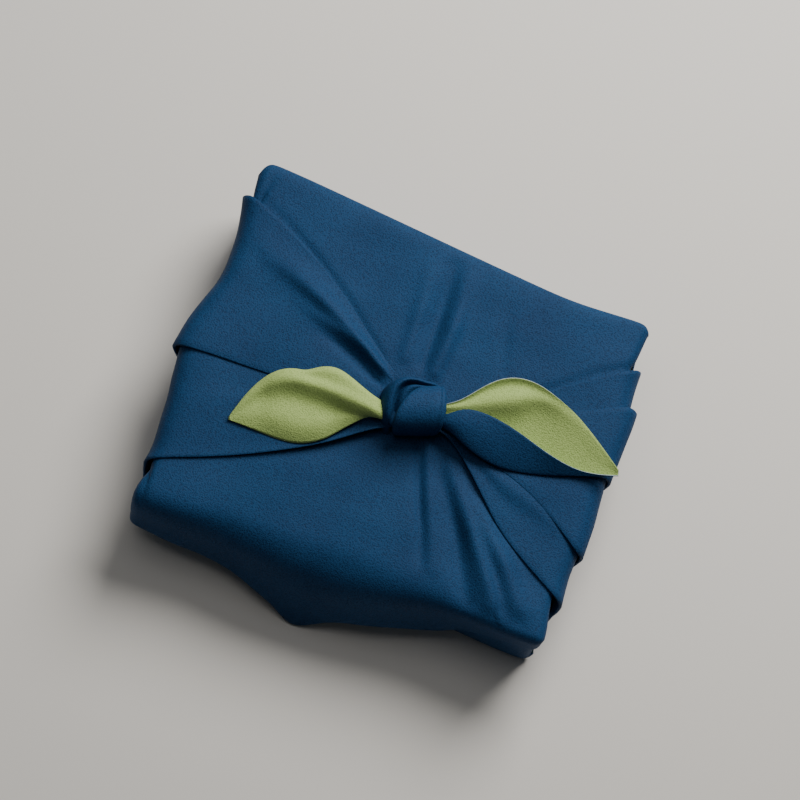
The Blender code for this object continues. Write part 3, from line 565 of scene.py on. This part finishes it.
def finish_sheet(thing, thickness, materials):
    """Makes a sheet solid, blue outside and green inside, and lets it ride with the parcel."""
    solid = thing.modifiers.new("cloth thickness", "SOLIDIFY")
    solid.thickness = thickness
    solid.offset = 0.0
    solid.material_offset = 1
    solid.material_offset_rim = 2
    for material in materials:
        thing.data.materials.append(material)
    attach(thing, "root")


# ---------------- the wrapped cloth

Row = namedtuple("Row", "zone y z ny nz half reach")


def arc_rows(zone, y, z, bend, start, end, halves):
    """Rows round a bend, without its two ends; the normals point out of the parcel."""
    rows = []
    for i in range(1, ARC_STEPS):
        angle = math.radians(between(start, end, i / ARC_STEPS))
        c, s = math.cos(angle), math.sin(angle)
        half = between(*halves, i / ARC_STEPS)
        rows.append(Row(zone, y + bend * c, z + bend * s, c, s, half, 0.0))
    return rows


def strip_rows():
    """The strip from the near corner, hidden on the box, round the front, base and back."""
    low, high = HALF + EDGE_BEND, TOP_Z - EDGE_BEND
    near_z = BOX_HIGH.z / MM + NEAR_ROOM
    turn = NEAR_PITCH / 2
    ear, skirt, wing = EAR_X - EDGE_BEND, SKIRT_X - EDGE_BEND, WING_X - EDGE_BEND
    flat_y = SIDE_Y - EDGE_BEND
    front_y, front_z = -SIDE_Y + FRONT_BEND, near_z - FRONT_BEND
    rows = []
    for y in (NEAR_TIP_Y, NEAR_TURN_Y):
        half = min(NEAR_HALF, y - NEAR_TIP_Y + NEAR_TIP_HALF)
        rows.append(Row("near", y, near_z - NEAR_PITCH, 0, -1, half, None))
    rows.append(Row("near", NEAR_TURN_Y + turn, near_z - turn, 1, 0, NEAR_HALF, None))
    for y in (NEAR_TURN_Y, NEAR_ROW_Y, front_y):
        rows.append(Row("near", y, near_z, 0, 1, NEAR_HALF, None))
    for row in arc_rows("near", front_y, front_z, FRONT_BEND, 90, 180, (NEAR_HALF, ear)):
        rows.append(row._replace(reach=None))
    for z in (front_z, between(low, high, 0.5), low):
        rows.append(Row("front", -SIDE_Y, z, -1, 0, ear, EAR))
    rows += arc_rows("corner", -flat_y, low, EDGE_BEND, 180, 270, (ear, wing))
    for y in reversed(base_lines(RIGHT_FOLDS)):
        rows.append(Row("base", y, HALF, 0, -1, wing, 0.0))
    rows += arc_rows("corner", flat_y, low, EDGE_BEND, 270, 360, (wing, ear))
    for z in (low, between(low, high, 0.5), high):
        rows.append(Row("back", SIDE_Y, z, 1, 0, ear, EAR))
    rows += arc_rows("corner", flat_y, high, EDGE_BEND, 0, 90, (ear, skirt))
    return rows


def roll_at(x):
    xs = [roll.x for roll in ROLLS]
    return [through(xs, [getattr(roll, name) for roll in ROLLS], x) for name in Roll._fields[1:]]


def far_shares():
    """Rows of shares: 0 to 1 across the top, then 1 to 2 down the far corner's roll and hem."""
    top = [i / TOP_ROWS for i in range(TOP_ROWS)]
    return top + [1.0 + i / HANG_ROWS for i in range(HANG_ROWS + 1)]


def far_point(x, share):
    """(y, z, ny, nz) of the far corner's cloth."""
    start, bend, lean, drop = roll_at(x)
    if share <= 1.0:
        return between(SIDE_Y - EDGE_BEND, start, share), TOP_Z, 0.0, 1.0
    lean = math.radians(lean)
    down = (share - 1.0) * drop
    angle = min(down / bend, lean)
    rest = max(0.0, down - bend * lean)
    y = start - bend * math.sin(angle) - rest * math.cos(lean)
    z = TOP_Z - bend * (1 - math.cos(angle)) - rest * math.sin(lean)
    return y, z, -math.sin(angle), math.cos(angle)


def wing_rise(x):
    return WING_RISE * max(0.0, (RISE_START - x) / RISE_RUN) ** RISE_POWER


def turned_under(fold):
    return fold.name.startswith("tuck") or fold.name == "hem_under"


def fold_edge(folds, i):
    """The number of the fold line that a line turned under hangs from."""
    near = sorted(range(len(folds)), key=lambda k: abs(k - i))
    return next(k for k in near if folds[k].name in ("pleat_lower", "hem_lower"))


def base_lines(folds):
    """Where each fold line starts along the base, from back to front: there no fold overlaps."""
    limit = SIDE_Y - EDGE_BEND
    lines = [limit]
    for i in range(1, len(folds) - 1):
        source = folds[fold_edge(folds, i)] if turned_under(folds[i]) else folds[i]
        lines.append(min(lines[-1] - BASE_GAP, source.edge * BASE_SPREAD))
    return lines + [-limit]


def climb(folds, i, share):
    """y of a fold line on the end of the box, a share of the way from its bottom to its top.

    A line turned under starts beside its fold edge, meets it at CLOSING and then passes behind."""
    lines = base_lines(folds)
    if not turned_under(folds[i]):
        return between(lines[i], folds[i].edge, share)
    k = fold_edge(folds, i)
    edge_y = between(lines[k], folds[k].edge, share)
    if share < CLOSING:
        return edge_y + lines[i] - lines[k]
    return between(edge_y, folds[i].edge, (share - CLOSING) / (1.0 - CLOSING))


def wing_path(folds, i, stations):
    """One fold line of a wing as points (x, y, z) for the side at +X, from the base's edge."""
    fold = folds[i]
    ys = fold[4:]
    lift = fold.layer * FLAT_PITCH
    room = fold.layer * PITCH + fold.bulge
    low, bend_z = HALF + EDGE_BEND, WING_TOP_Z + lift - WING_BEND
    first, last = WING_X + room - WING_BEND, stations[-1]
    points = []
    for step in range(1, ARC_STEPS + 1):
        angle = math.radians(90 * step / ARC_STEPS)
        x = WING_X - EDGE_BEND * (1 - math.sin(angle))
        points.append((x, base_lines(folds)[i], low - EDGE_BEND * math.cos(angle)))
    for share in CLIMB:
        x = WING_X + room * between(LOW_ROOM, 1.0, share)
        points.append((x, climb(folds, i, share), between(low, bend_z, share)))
    for step in range(1, ARC_STEPS + 1):
        angle = math.radians(90 * step / ARC_STEPS)
        x = first + WING_BEND * math.cos(angle)
        points.append((x, through(stations, ys, x), bend_z + WING_BEND * math.sin(angle)))
    for step in range(1, RUN_STEPS + 1):
        share = step / RUN_STEPS
        x = between(first, last, share)
        squeeze = between(1.0, KNOT_SQUEEZE, share)
        swell = fold.swell * math.sin(math.pi * share**SWELL_POWER)
        z = WING_TOP_Z + lift * squeeze + wing_rise(x) + swell
        points.append((x, through(stations, ys, x), z))
    return points


def wing_tip(fold, stations):
    """The hidden end of a fold line, inside the knot."""
    y = between(fold.knot, KNOT_AT.y, TIP_SHARE)
    lift = fold.layer * FLAT_PITCH * KNOT_SQUEEZE * TIP_SQUEEZE
    return (stations[-1] - TIP_RUN, y, WING_TOP_Z + lift + wing_rise(stations[-1]) + TIP_RISE)


def round_end(row, side):
    """Points that carry a row of the sheet round the end of the box, from its last column."""
    _, y, z, ny, nz, half, reach = row
    points = []
    for i in range(1, ARC_STEPS + 1):
        angle = math.radians(90 * i / ARC_STEPS)
        out, down = EDGE_BEND * math.sin(angle), EDGE_BEND * (1 - math.cos(angle))
        points.append((side * (half + out), y - ny * down, z - nz * down))
    for i in range(1, REACH_STEPS + 1 if reach else 1):
        share = i / REACH_STEPS
        down = EDGE_BEND + reach * share
        inside = CORNER_TUCK * max(0.0, nz) * min(1.0, 2 * share)
        points.append((side * (half + EDGE_BEND - inside), y - ny * down, z - nz * down))
    return points


def loosened(point):
    """A point of the plain wrap, moved out to where the loose cloth lies."""
    x, y, z = point
    end, side = math.copysign(1, x), math.copysign(1, y)
    out_x, out_y = CORNER_ROOM[end, side]
    near_corner = smooth_step((abs(y) - CORNER_START) / CORNER_RUN)
    new_x = x + end * out_x * near_corner * smooth_step((abs(x) - END_START) / END_RUN)
    if side > 0:
        room = through([at for at, _ in BACK_ROOM], [out for _, out in BACK_ROOM], x)
        near_edge = smooth_step((y - BACK_START) / BACK_RUN) * smooth_step(z / BACK_RISE)
        return new_x, y + room * near_edge, z
    near_end = smooth_step((abs(x) - FRONT_START) / FRONT_RUN)
    return new_x, y - out_y * near_corner * near_end, z


def loosened_low(point):
    """A point of the base or a wing, moved with the loose corner near the base only."""
    share = 1.0 - smooth_step(point[2] / CORNER_LOW)
    x, y, z = loosened(point)
    return between(point[0], x, share * LOW_SHARE), between(point[1], y, share), z


def middle_rows(sheet, rows):
    """The strip's rows across the parcel: base rows slant from the left to the right fold lines."""
    first_base = next(i for i, row in enumerate(rows) if row.zone == "base")
    left, right = base_lines(LEFT_FOLDS)[::-1], base_lines(RIGHT_FOLDS)[::-1]
    middle = []
    for i, row in enumerate(rows):
        points = []
        for c in COLUMNS:
            if row.zone == "base":
                k = i - first_base
                moved = loosened_low((row.half * c, between(left[k], right[k], (c + 1) / 2), row.z))
            else:
                moved = loosened((row.half * c, row.y, row.z))
            points.append(sheet.add(moved))
        middle.append(points)
    skirt = SKIRT_X - EDGE_BEND
    for share in far_shares():
        points = []
        for c in COLUMNS:
            y, z, _, _ = far_point(skirt * c, share)
            points.append(sheet.add(loosened((skirt * c, y, z)), "top"))
        middle.append(points)
    return middle, first_base


def end_rows(sheet, rows, middle, first_base, side):
    """The rows beyond one end of the strip: the wing's fold lines, the ears and the skirt."""
    if side < 0:
        folds, stations, wing, edge = LEFT_FOLDS, LEFT_STATIONS, "left_wing", 0
    else:
        folds, stations, wing, edge = RIGHT_FOLDS, RIGHT_STATIONS, "right_wing", -1
    shares = far_shares()
    ends = []
    for i, row in enumerate(rows):
        if row.reach is None:
            ends.append([])
            continue
        group = "top" if row.zone == "far" else None
        if row.zone == "far":
            y, z, ny, nz = far_point(side * row.half, shares[i - len(rows)])
            row = row._replace(y=y, z=z, ny=ny, nz=nz)
        if row.zone == "base":
            number = len(folds) - 1 - (i - first_base)
            path = wing_path(folds, number, stations) + [wing_tip(folds[number], stations)]
            points = [loosened_low((side * x, y, z)) for x, y, z in path]
            group = wing
        else:
            points = [loosened(point) for point in round_end(row, side)]
        ends.append([middle[i][edge]] + [sheet.add(point, group) for point in points])
        if row.zone == "base" and folds[number].name.startswith(("pleat", "hem_upper", "hem_lower")):
            sheet.crease(ends[-1][ARC_STEPS + 2 :])
    return ends


def wrap_sheet():
    """The whole cloth but for its tied ends: the strip over the box, its folds and both wings."""
    sheet = Sheet()
    rows = strip_rows()
    middle, first_base = middle_rows(sheet, rows)
    for share in far_shares():
        reach = SKIRT if share < SKIRT_SHARE else 0.0
        rows.append(Row("far", 0, 0, 0, 0, SKIRT_X - EDGE_BEND, reach))
    sheet.loft(middle)
    for side in (-1, 1):
        sheet.loft(end_rows(sheet, rows, middle, first_base, side))
    return sheet


# ---------------- the knot and the free ends


def from_knot(point):
    """A point in the knot's axes as a point of the parcel, both in mm."""
    return KNOT_FRAME @ (Vector(point) * MM) / MM


def tied_piece(name, rows, seen, way, levels):
    """A sheet through rows of points in the knot's axes; its blue face looks up or down at seen."""
    sheet = Sheet()
    sheet.loft([[sheet.add(from_knot(point)) for point in row] for row in rows])
    piece = sheet.make(name, (from_knot(seen), (0, 0, way)))
    refine(piece, levels)
    return piece


def band_rows():
    rows = []
    for i, band in enumerate(BAND):
        before, after = BAND[max(0, i - 1)], BAND[min(len(BAND) - 1, i + 1)]
        run = Vector((0, after.y - before.y, after.z - before.z)).normalized()
        inwards = Vector((0, -run.z, run.y))
        row = []
        for share, drop in BAND_ACROSS:
            x = between(band.left, band.right, share)
            row.append(Vector((x, band.y, band.z)) + inwards * drop)
        rows.append(row)
    return rows


def knot_core():
    """The bundle of cloth inside the knot, a block with soft corners that closes its hollows."""
    mesh = bpy.data.meshes.new("knot_core")
    work = bmesh.new()
    bmesh.ops.create_uvsphere(work, u_segments=48, v_segments=24, radius=1.0)
    for vert in work.verts:
        reach = sum(abs(value) ** CORE_SQUARE for value in vert.co) ** (1.0 / CORE_SQUARE)
        vert.co = KNOT_FRAME @ (Vector([a * b for a, b in zip(vert.co / reach, CORE_HALVES)]) * MM)
    work.to_mesh(mesh)
    work.free()
    mesh.shade_smooth()
    return add_to_scene("knot_core", mesh)


# ---------------- materials

# Sizes of the patterns in mm: the dye's faint clouds, 22 to a metre; the stitches of the rolled
# hem, 9 to a centimetre; and the fibres of the paper, 7 to a centimetre. The last two are finer in
# the real thing, and are drawn as coarse as they need to show. So is the pebbled grain, which is
# nearer 0.5 mm and is a setting below
CLOUD, STITCH, FIBRE = 1000.0 / 22, 10.0 / 9, 10.0 / 7
# The relief's height in mm, the finer threads that cross one pebble, and the reverse's finer grain
PEBBLE_HEIGHT, PEBBLE_THREADS, REVERSE_GRAIN = 0.4, 1.6, 0.9
# What makes a mix of two colours multiply them
MULTIPLY = {"data_type": "RGBA", "blend_type": "MULTIPLY"}


def add_node(material, kind, settings=None, links=None, stops=(), **attributes):
    """A node with its attributes, input values and incoming links, and a ramp's stops."""
    node = material.node_tree.nodes.new(kind)
    for name, value in attributes.items():
        setattr(node, name, value)
    for name, value in (settings or {}).items():
        node.inputs[name].default_value = value
    for name, socket in (links or {}).items():
        material.node_tree.links.new(socket, node.inputs[name])
    for number, (place, colour) in enumerate(stops):
        node.color_ramp.elements[number].position = place
        node.color_ramp.elements[number].color = colour
    return node


def new_material(name):
    """A material, its shader and its links."""
    material = bpy.data.materials.new(name)
    material.use_nodes = True
    return material, material.node_tree.nodes["Principled BSDF"], material.node_tree.links


def on_piece(material):
    """The place on the piece, in metres, that the patterns follow."""
    return {"Vector": add_node(material, "ShaderNodeTexCoord").outputs["Object"]}


def pebbled_relief(material, place, grain):
    """The crepe's fine relief: grain is the breadth of one pebble in mm."""
    pebble = {"Scale": 1.0 / (grain * MM), "Randomness": 1.0, "Smoothness": 0.6}
    cells = add_node(material, "ShaderNodeTexVoronoi", pebble, place, feature="SMOOTH_F1")
    thread = {"Scale": PEBBLE_THREADS / (grain * MM), "Detail": 3.0, "Roughness": 0.6}
    threads = add_node(material, "ShaderNodeTexNoise", thread, place)
    parts = {0: cells.outputs["Distance"], 1: threads.outputs["Fac"]}
    height = add_node(material, "ShaderNodeMath", links=parts, operation="ADD").outputs["Value"]
    depth = {"Strength": 0.5, "Distance": PEBBLE_HEIGHT * MM}
    bump = add_node(material, "ShaderNodeBump", depth, {"Height": height})
    return bump.outputs["Normal"], height


def crepe_satin(colours):
    """The face: polyester crepe satin, woven with hard twisted weft that pulls it into pebbles.

    Its floating threads give a weak and broad gloss, and a trace of sheen lightens the folds that
    turn away. Its colour is painted shade in the pebbles' pits and painted light on their tops.
    """
    material, shader, links = new_material("crepe_satin_blue")
    place = on_piece(material)
    normal, height = pebbled_relief(material, place, colours.grain)
    cloud = {"Scale": 1.0 / (CLOUD * MM), "Detail": 3.0, "Roughness": 0.5}
    clouds = add_node(material, "ShaderNodeTexNoise", cloud, place)
    # grain: painted shade in the pebbles' pits and painted light on their tops, read from the relief's height
    grain = add_node(
        material,
        "ShaderNodeValToRGB",
        links={"Fac": height},
        stops=((0.56, (0.5, 0.56, 0.6, 1)), (1.0, (1.5, 1.42, 1.36, 1))),
    )
    patches = add_node(
        material,
        "ShaderNodeValToRGB",
        links={"Fac": clouds.outputs["Fac"]},
        stops=((0.3, (0.84, 0.87, 0.9, 1)), (0.7, (1.14, 1.12, 1.1, 1))),
    )
    shades = {"A": grain.outputs["Color"], "B": patches.outputs["Color"]}
    shade = add_node(material, "ShaderNodeMix", {"Factor": 1.0}, shades, **MULTIPLY)
    dye = {"Factor": 1.0, "A": (*colours.blue, 1.0)}
    dyed = add_node(material, "ShaderNodeMix", dye, {"B": shade.outputs["Result"]}, **MULTIPLY)
    links.new(dyed.outputs["Result"], shader.inputs["Base Color"])
    links.new(normal, shader.inputs["Normal"])
    shader.inputs["Roughness"].default_value = 0.62
    shader.inputs["IOR"].default_value = 1.5
    shader.inputs["Specular IOR Level"].default_value = 0.1
    shader.inputs["Sheen Weight"].default_value = 0.015
    shader.inputs["Sheen Roughness"].default_value = 0.4
    shader.inputs["Sheen Tint"].default_value = srgb("#8fb4d8")
    return material


def matt_reverse(colours):
    """The reverse of the same cloth, dyed olive green, where the spun weft lies on top.

    The spun threads give no gloss but a soft bloom. Its colour is painted shade in the pits of the
    relief and painted light on its tops, in small specks.
    """
    material, shader, links = new_material("crepe_reverse_green")
    normal, height = pebbled_relief(material, on_piece(material), colours.grain * REVERSE_GRAIN)
    # Painted shade in the relief's pits and painted light on its tops, read from its height
    painted_relief_shading = add_node(
        material,
        "ShaderNodeValToRGB",
        links={"Fac": height},
        stops=((0.5, (0.66, 0.72, 0.6, 1)), (1.0, (1.3, 1.26, 1.3, 1))),
    )
    dye = {"Factor": 1.0, "A": (*colours.green, 1.0)}
    dyed = add_node(material, "ShaderNodeMix", dye, {"B": painted_relief_shading.outputs["Color"]}, **MULTIPLY)
    links.new(dyed.outputs["Result"], shader.inputs["Base Color"])
    links.new(normal, shader.inputs["Normal"])
    shader.inputs["Roughness"].default_value = 0.8
    shader.inputs["Sheen Weight"].default_value = 0.15
    shader.inputs["Sheen Roughness"].default_value = 0.5
    shader.inputs["Sheen Tint"].default_value = srgb("#dfe6b4")
    return material


def rolled_hem(colours):
    """The narrow rolled hem: stitches over blue and green threads, pale grey blue and matt."""
    material, shader, links = new_material("rolled_hem")
    stitch = {"Scale": 1.0 / (STITCH * MM), "Detail": 2.0}
    stitches = add_node(material, "ShaderNodeTexNoise", stitch, on_piece(material))
    dark = (*(value * 0.6 for value in colours.hem), 1.0)
    colour = add_node(
        material,
        "ShaderNodeValToRGB",
        links={"Fac": stitches.outputs["Fac"]},
        stops=((0.35, dark), (0.65, (*colours.hem, 1.0))),
    )
    links.new(colour.outputs["Color"], shader.inputs["Base Color"])
    shader.inputs["Roughness"].default_value = 0.7
    return material


def grey_board():
    """Grey board covered in uncoated paper, the box that the cloth hides: fibres and no gloss."""
    material, shader, links = new_material("paper_covered_board")
    fibre = {"Scale": 1.0 / (FIBRE * MM), "Detail": 5.0}
    fibres = add_node(material, "ShaderNodeTexNoise", fibre, on_piece(material)).outputs["Fac"]
    colour = add_node(
        material,
        "ShaderNodeValToRGB",
        links={"Fac": fibres},
        stops=((0.35, srgb("#b8ab94")), (0.65, srgb("#c9bda7"))),
    )
    depth = {"Strength": 0.2, "Distance": 0.1 * MM}
    bump = add_node(material, "ShaderNodeBump", depth, {"Height": fibres})
    links.new(colour.outputs["Color"], shader.inputs["Base Color"])
    links.new(bump.outputs["Normal"], shader.inputs["Normal"])
    shader.inputs["Roughness"].default_value = 0.85
    return material


def backdrop_paper(colour):
    """A seamless backdrop of uncoated paper, matt and pale."""
    material, shader, _ = new_material("backdrop_paper")
    shader.inputs["Base Color"].default_value = (*colour, 1.0)
    shader.inputs["Roughness"].default_value = 0.9
    return material


def material_called(name, make, *inputs):
    return bpy.data.materials.get(name) or make(*inputs)


def cloth_materials(context):
    colours = context.scene.furoshiki_colours
    blue = material_called("crepe_satin_blue", crepe_satin, colours)
    green = material_called("crepe_reverse_green", matt_reverse, colours)
    return blue, green, material_called("rolled_hem", rolled_hem, colours)


# ---------------- settings


class FuroshikiSizes(bpy.types.PropertyGroup):
    """Sizes that change how fine and how thick the cloth is."""

    thickness: FloatProperty(
        name="Cloth thickness", description="Thickness of the cloth", default=0.5 * MM, unit="LENGTH"
    )
    wrap_levels: IntProperty(name="Wrap levels", description="Subdivisions of the wrap", default=2)
    end_levels: IntProperty(name="End levels", description="Subdivisions of the knot and ends", default=3)
    flat_side: FloatProperty(
        name="Cloth side", description="Side of the square cloth, laid flat", default=0.70, unit="LENGTH"
    )
    tied_corner: FloatProperty(
        name="Tied corner",
        description="Depth of each corner that is in the knot and its free end",
        default=0.187,
        unit="LENGTH",
    )


class FuroshikiColours(bpy.types.PropertyGroup):
    """Colours of the cloth, and the size of its grain in millimetres."""

    blue: FloatVectorProperty(
        name="Face", description="Dye of the glossy face", subtype="COLOR", default=srgb("#113357")[:3]
    )
    green: FloatVectorProperty(
        name="Reverse", description="Dye of the matt reverse", subtype="COLOR", default=srgb("#8fa95f")[:3]
    )
    hem: FloatVectorProperty(
        name="Hem", description="Thread of the rolled hem", subtype="COLOR", default=srgb("#a3b6c6")[:3]
    )
    grain: FloatProperty(name="Grain", description="Breadth of one pebble, in mm", default=1.0)


class FuroshikiStage(bpy.types.PropertyGroup):
    """Camera and light."""

    elevation: FloatProperty(
        name="Camera height", description="Angle above the table", default=math.radians(73), subtype="ANGLE"
    )
    roll: FloatProperty(
        name="Camera roll", description="Turn of the picture", default=math.radians(20.5), subtype="ANGLE"
    )
    distance: FloatProperty(name="Camera distance", description="From the parcel", default=2.0, unit="LENGTH")
    scale: FloatProperty(
        name="Pixel", description="Size of one of 800 pixels at the parcel", default=0.615 * MM, unit="LENGTH"
    )
    key_power: FloatProperty(
        name="Key light", description="Power of the main light", default=40.0, unit="POWER"
    )
    ceiling_power: FloatProperty(
        name="Ceiling light", description="Power of the weak light from above", default=5.5, unit="POWER"
    )
    sky: FloatProperty(name="Room light", description="Strength of the light all round", default=0.06)
    floor: FloatVectorProperty(
        name="Floor", description="Colour of the backdrop", subtype="COLOR", default=srgb("#d9d8d6")[:3]
    )


# ---------------- operators


class FUROSHIKI_OT_wrap(bpy.types.Operator):
    """Build the square of cloth round the box, with its pleated side corners"""

    bl_idname = "furoshiki.wrap"
    bl_label = "Wrap the box"

    def execute(self, context):
        sizes = context.scene.furoshiki_sizes
        upwards_on_top = ((-60, 80, TOP_Z), (0, 0, 1))
        cloth = wrap_sheet().make("wrap_cloth", upwards_on_top)
        refine(cloth, sizes.wrap_levels)
        add_soft_folds(cloth)
        face, reverse, _ = cloth_materials(context)
        finish_sheet(cloth, sizes.thickness, (face, reverse, face))
        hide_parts("cloth")
        return {"FINISHED"}


class FUROSHIKI_OT_knot(bpy.types.Operator):
    """Build the knot: its core, the band over it and the roll that arches round the band"""

    bl_idname = "furoshiki.knot"
    bl_label = "Tie the knot"

    def execute(self, context):
        sizes = context.scene.furoshiki_sizes
        materials = cloth_materials(context)
        core = knot_core()
        core.data.materials.append(materials[0])
        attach(core, "root")
        for name, rows in (("knot_band", band_rows()), ("knot_arch", ARCH)):
            seen = rows[len(rows) // 2][len(rows[0]) // 2]
            piece = tied_piece(name, rows, seen, 1, sizes.end_levels)
            finish_sheet(piece, sizes.thickness, materials)
        return {"FINISHED"}


class FUROSHIKI_OT_ends(bpy.types.Operator):
    """Build the two free ends of the knot, which show the green reverse"""

    bl_idname = "furoshiki.ends"
    bl_label = "Lay out the free ends"

    def execute(self, context):
        sizes = context.scene.furoshiki_sizes
        for name, stations in (("left_end", LEFT_END), ("right_end", RIGHT_END)):
            rows = [[(x, *pair) for pair in pairs] for x, *pairs in stations]
            seen = rows[END_SEEN[0]][END_SEEN[1]]
            piece = tied_piece(name, rows, seen, -1, sizes.end_levels)
            finish_sheet(piece, sizes.thickness, cloth_materials(context))
        return {"FINISHED"}


class FUROSHIKI_OT_box(bpy.types.Operator):
    """Give the hidden box its covered board"""

    bl_idname = "furoshiki.box"
    bl_label = "Cover the box"

    def execute(self, context):
        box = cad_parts["box"]
        box.data.materials.clear()
        box.data.materials.append(material_called("paper_covered_board", grey_board))
        return {"FINISHED"}


class FUROSHIKI_OT_declare(bpy.types.Operator):
    bl_idname = "furoshiki.declare"
    bl_label = "Declare the sheets"

    def execute(self, context):
        return {"FINISHED"}


# The studio, in metres: half the floor, the lights' places and breadths, and what they look at
FLOOR_HALF = 6.0
KEY_AT, KEY_SIZE = (0.3, 1.1, 1.15), 1.0
CEILING_AT, CEILING_SIZE = (-0.35, 0.25, 1.8), 1.2
LIT_POINT = (0, 0, 0.05)
LAMP_COLOUR, ROOM_COLOUR = "#fffaf2", "#dfe6ef"
# What the camera looks at, in mm, the breadth of its sensor, and the picture's side in pixels
CAMERA_TARGET = (-1.0, 3.0, 64.0)
SENSOR, PICTURE_SIDE = 36.0, 800


def add_light(name, place, size, power):
    data = bpy.data.lights.new(name, "AREA")
    data.shape = "DISK"
    data.size = size
    data.energy = power
    data.color = srgb(LAMP_COLOUR)[:3]
    light = add_to_scene(name, data)
    light.location = place
    light.rotation_euler = (Vector(LIT_POINT) - Vector(place)).to_track_quat("-Z", "Y").to_euler()


class FUROSHIKI_OT_stage(bpy.types.Operator):
    """Build the backdrop, the soft light and the camera"""

    bl_idname = "furoshiki.stage"
    bl_label = "Set the stage"

    def execute(self, context):
        settings = context.scene.furoshiki_stage
        mesh = bpy.data.meshes.new("floor")
        work = bmesh.new()
        bmesh.ops.create_grid(work, x_segments=1, y_segments=1, size=FLOOR_HALF)
        work.to_mesh(mesh)
        work.free()
        mesh.materials.append(material_called("backdrop_paper", backdrop_paper, settings.floor))
        add_to_scene("floor", mesh)

        world = bpy.data.worlds.new("room")
        world.use_nodes = True
        background = world.node_tree.nodes["Background"]
        background.inputs["Color"].default_value = srgb(ROOM_COLOUR)
        background.inputs["Strength"].default_value = settings.sky
        context.scene.world = world
        add_light("key", KEY_AT, KEY_SIZE, settings.key_power)
        add_light("ceiling", CEILING_AT, CEILING_SIZE, settings.ceiling_power)

        back = Vector((0, -math.cos(settings.elevation), math.sin(settings.elevation)))
        up = Vector((0, math.sin(settings.elevation), math.cos(settings.elevation)))
        data = bpy.data.cameras.new("camera")
        data.sensor_width = SENSOR
        data.lens = SENSOR * settings.distance / (PICTURE_SIDE * settings.scale)
        camera = add_to_scene("camera", data)
        turned = Matrix.Rotation(settings.roll, 3, back)
        axes = Matrix((turned @ Vector((1, 0, 0)), turned @ up, back)).transposed()
        place = Vector(CAMERA_TARGET) * MM + back * settings.distance
        camera.matrix_world = Matrix.Translation(place) @ axes.to_4x4()
        context.scene.camera = camera
        return {"FINISHED"}


class FUROSHIKI_PT_panel(bpy.types.Panel):
    """Sizes, colours and steps of the furoshiki wrap"""

    bl_label = "Furoshiki Wrap"
    bl_idname = "FUROSHIKI_PT_panel"
    bl_space_type = "VIEW_3D"
    bl_region_type = "UI"
    bl_category = "Furoshiki"

    def draw(self, context):
        scene = context.scene
        for title, group in (
            ("Sizes", scene.furoshiki_sizes),
            ("Colours", scene.furoshiki_colours),
            ("Stage", scene.furoshiki_stage),
        ):
            column = self.layout.column(align=True)
            column.label(text=title)
            for name in group.__annotations__:
                column.prop(group, name)
        for operator in OPERATORS:
            self.layout.operator(operator.bl_idname)


OPERATORS = (
    FUROSHIKI_OT_wrap,
    FUROSHIKI_OT_knot,
    FUROSHIKI_OT_ends,
    FUROSHIKI_OT_box,
    FUROSHIKI_OT_declare,
    FUROSHIKI_OT_stage,
)
GROUPS = (FuroshikiSizes, FuroshikiColours, FuroshikiStage)


def register():
    for kind in (*GROUPS, *OPERATORS, FUROSHIKI_PT_panel):
        bpy.utils.register_class(kind)
    bpy.types.Scene.furoshiki_sizes = PointerProperty(type=FuroshikiSizes)
    bpy.types.Scene.furoshiki_colours = PointerProperty(type=FuroshikiColours)
    bpy.types.Scene.furoshiki_stage = PointerProperty(type=FuroshikiStage)


def unregister():
    del bpy.types.Scene.furoshiki_stage
    del bpy.types.Scene.furoshiki_colours
    del bpy.types.Scene.furoshiki_sizes
    for kind in reversed((*GROUPS, *OPERATORS, FUROSHIKI_PT_panel)):
        bpy.utils.unregister_class(kind)


def main():
    register()
    bpy.ops.furoshiki.wrap()
    bpy.ops.furoshiki.knot()
    bpy.ops.furoshiki.ends()
    bpy.ops.furoshiki.box()
    bpy.ops.furoshiki.declare()
    bpy.ops.furoshiki.stage()


if __name__ == "__main__":
    main()
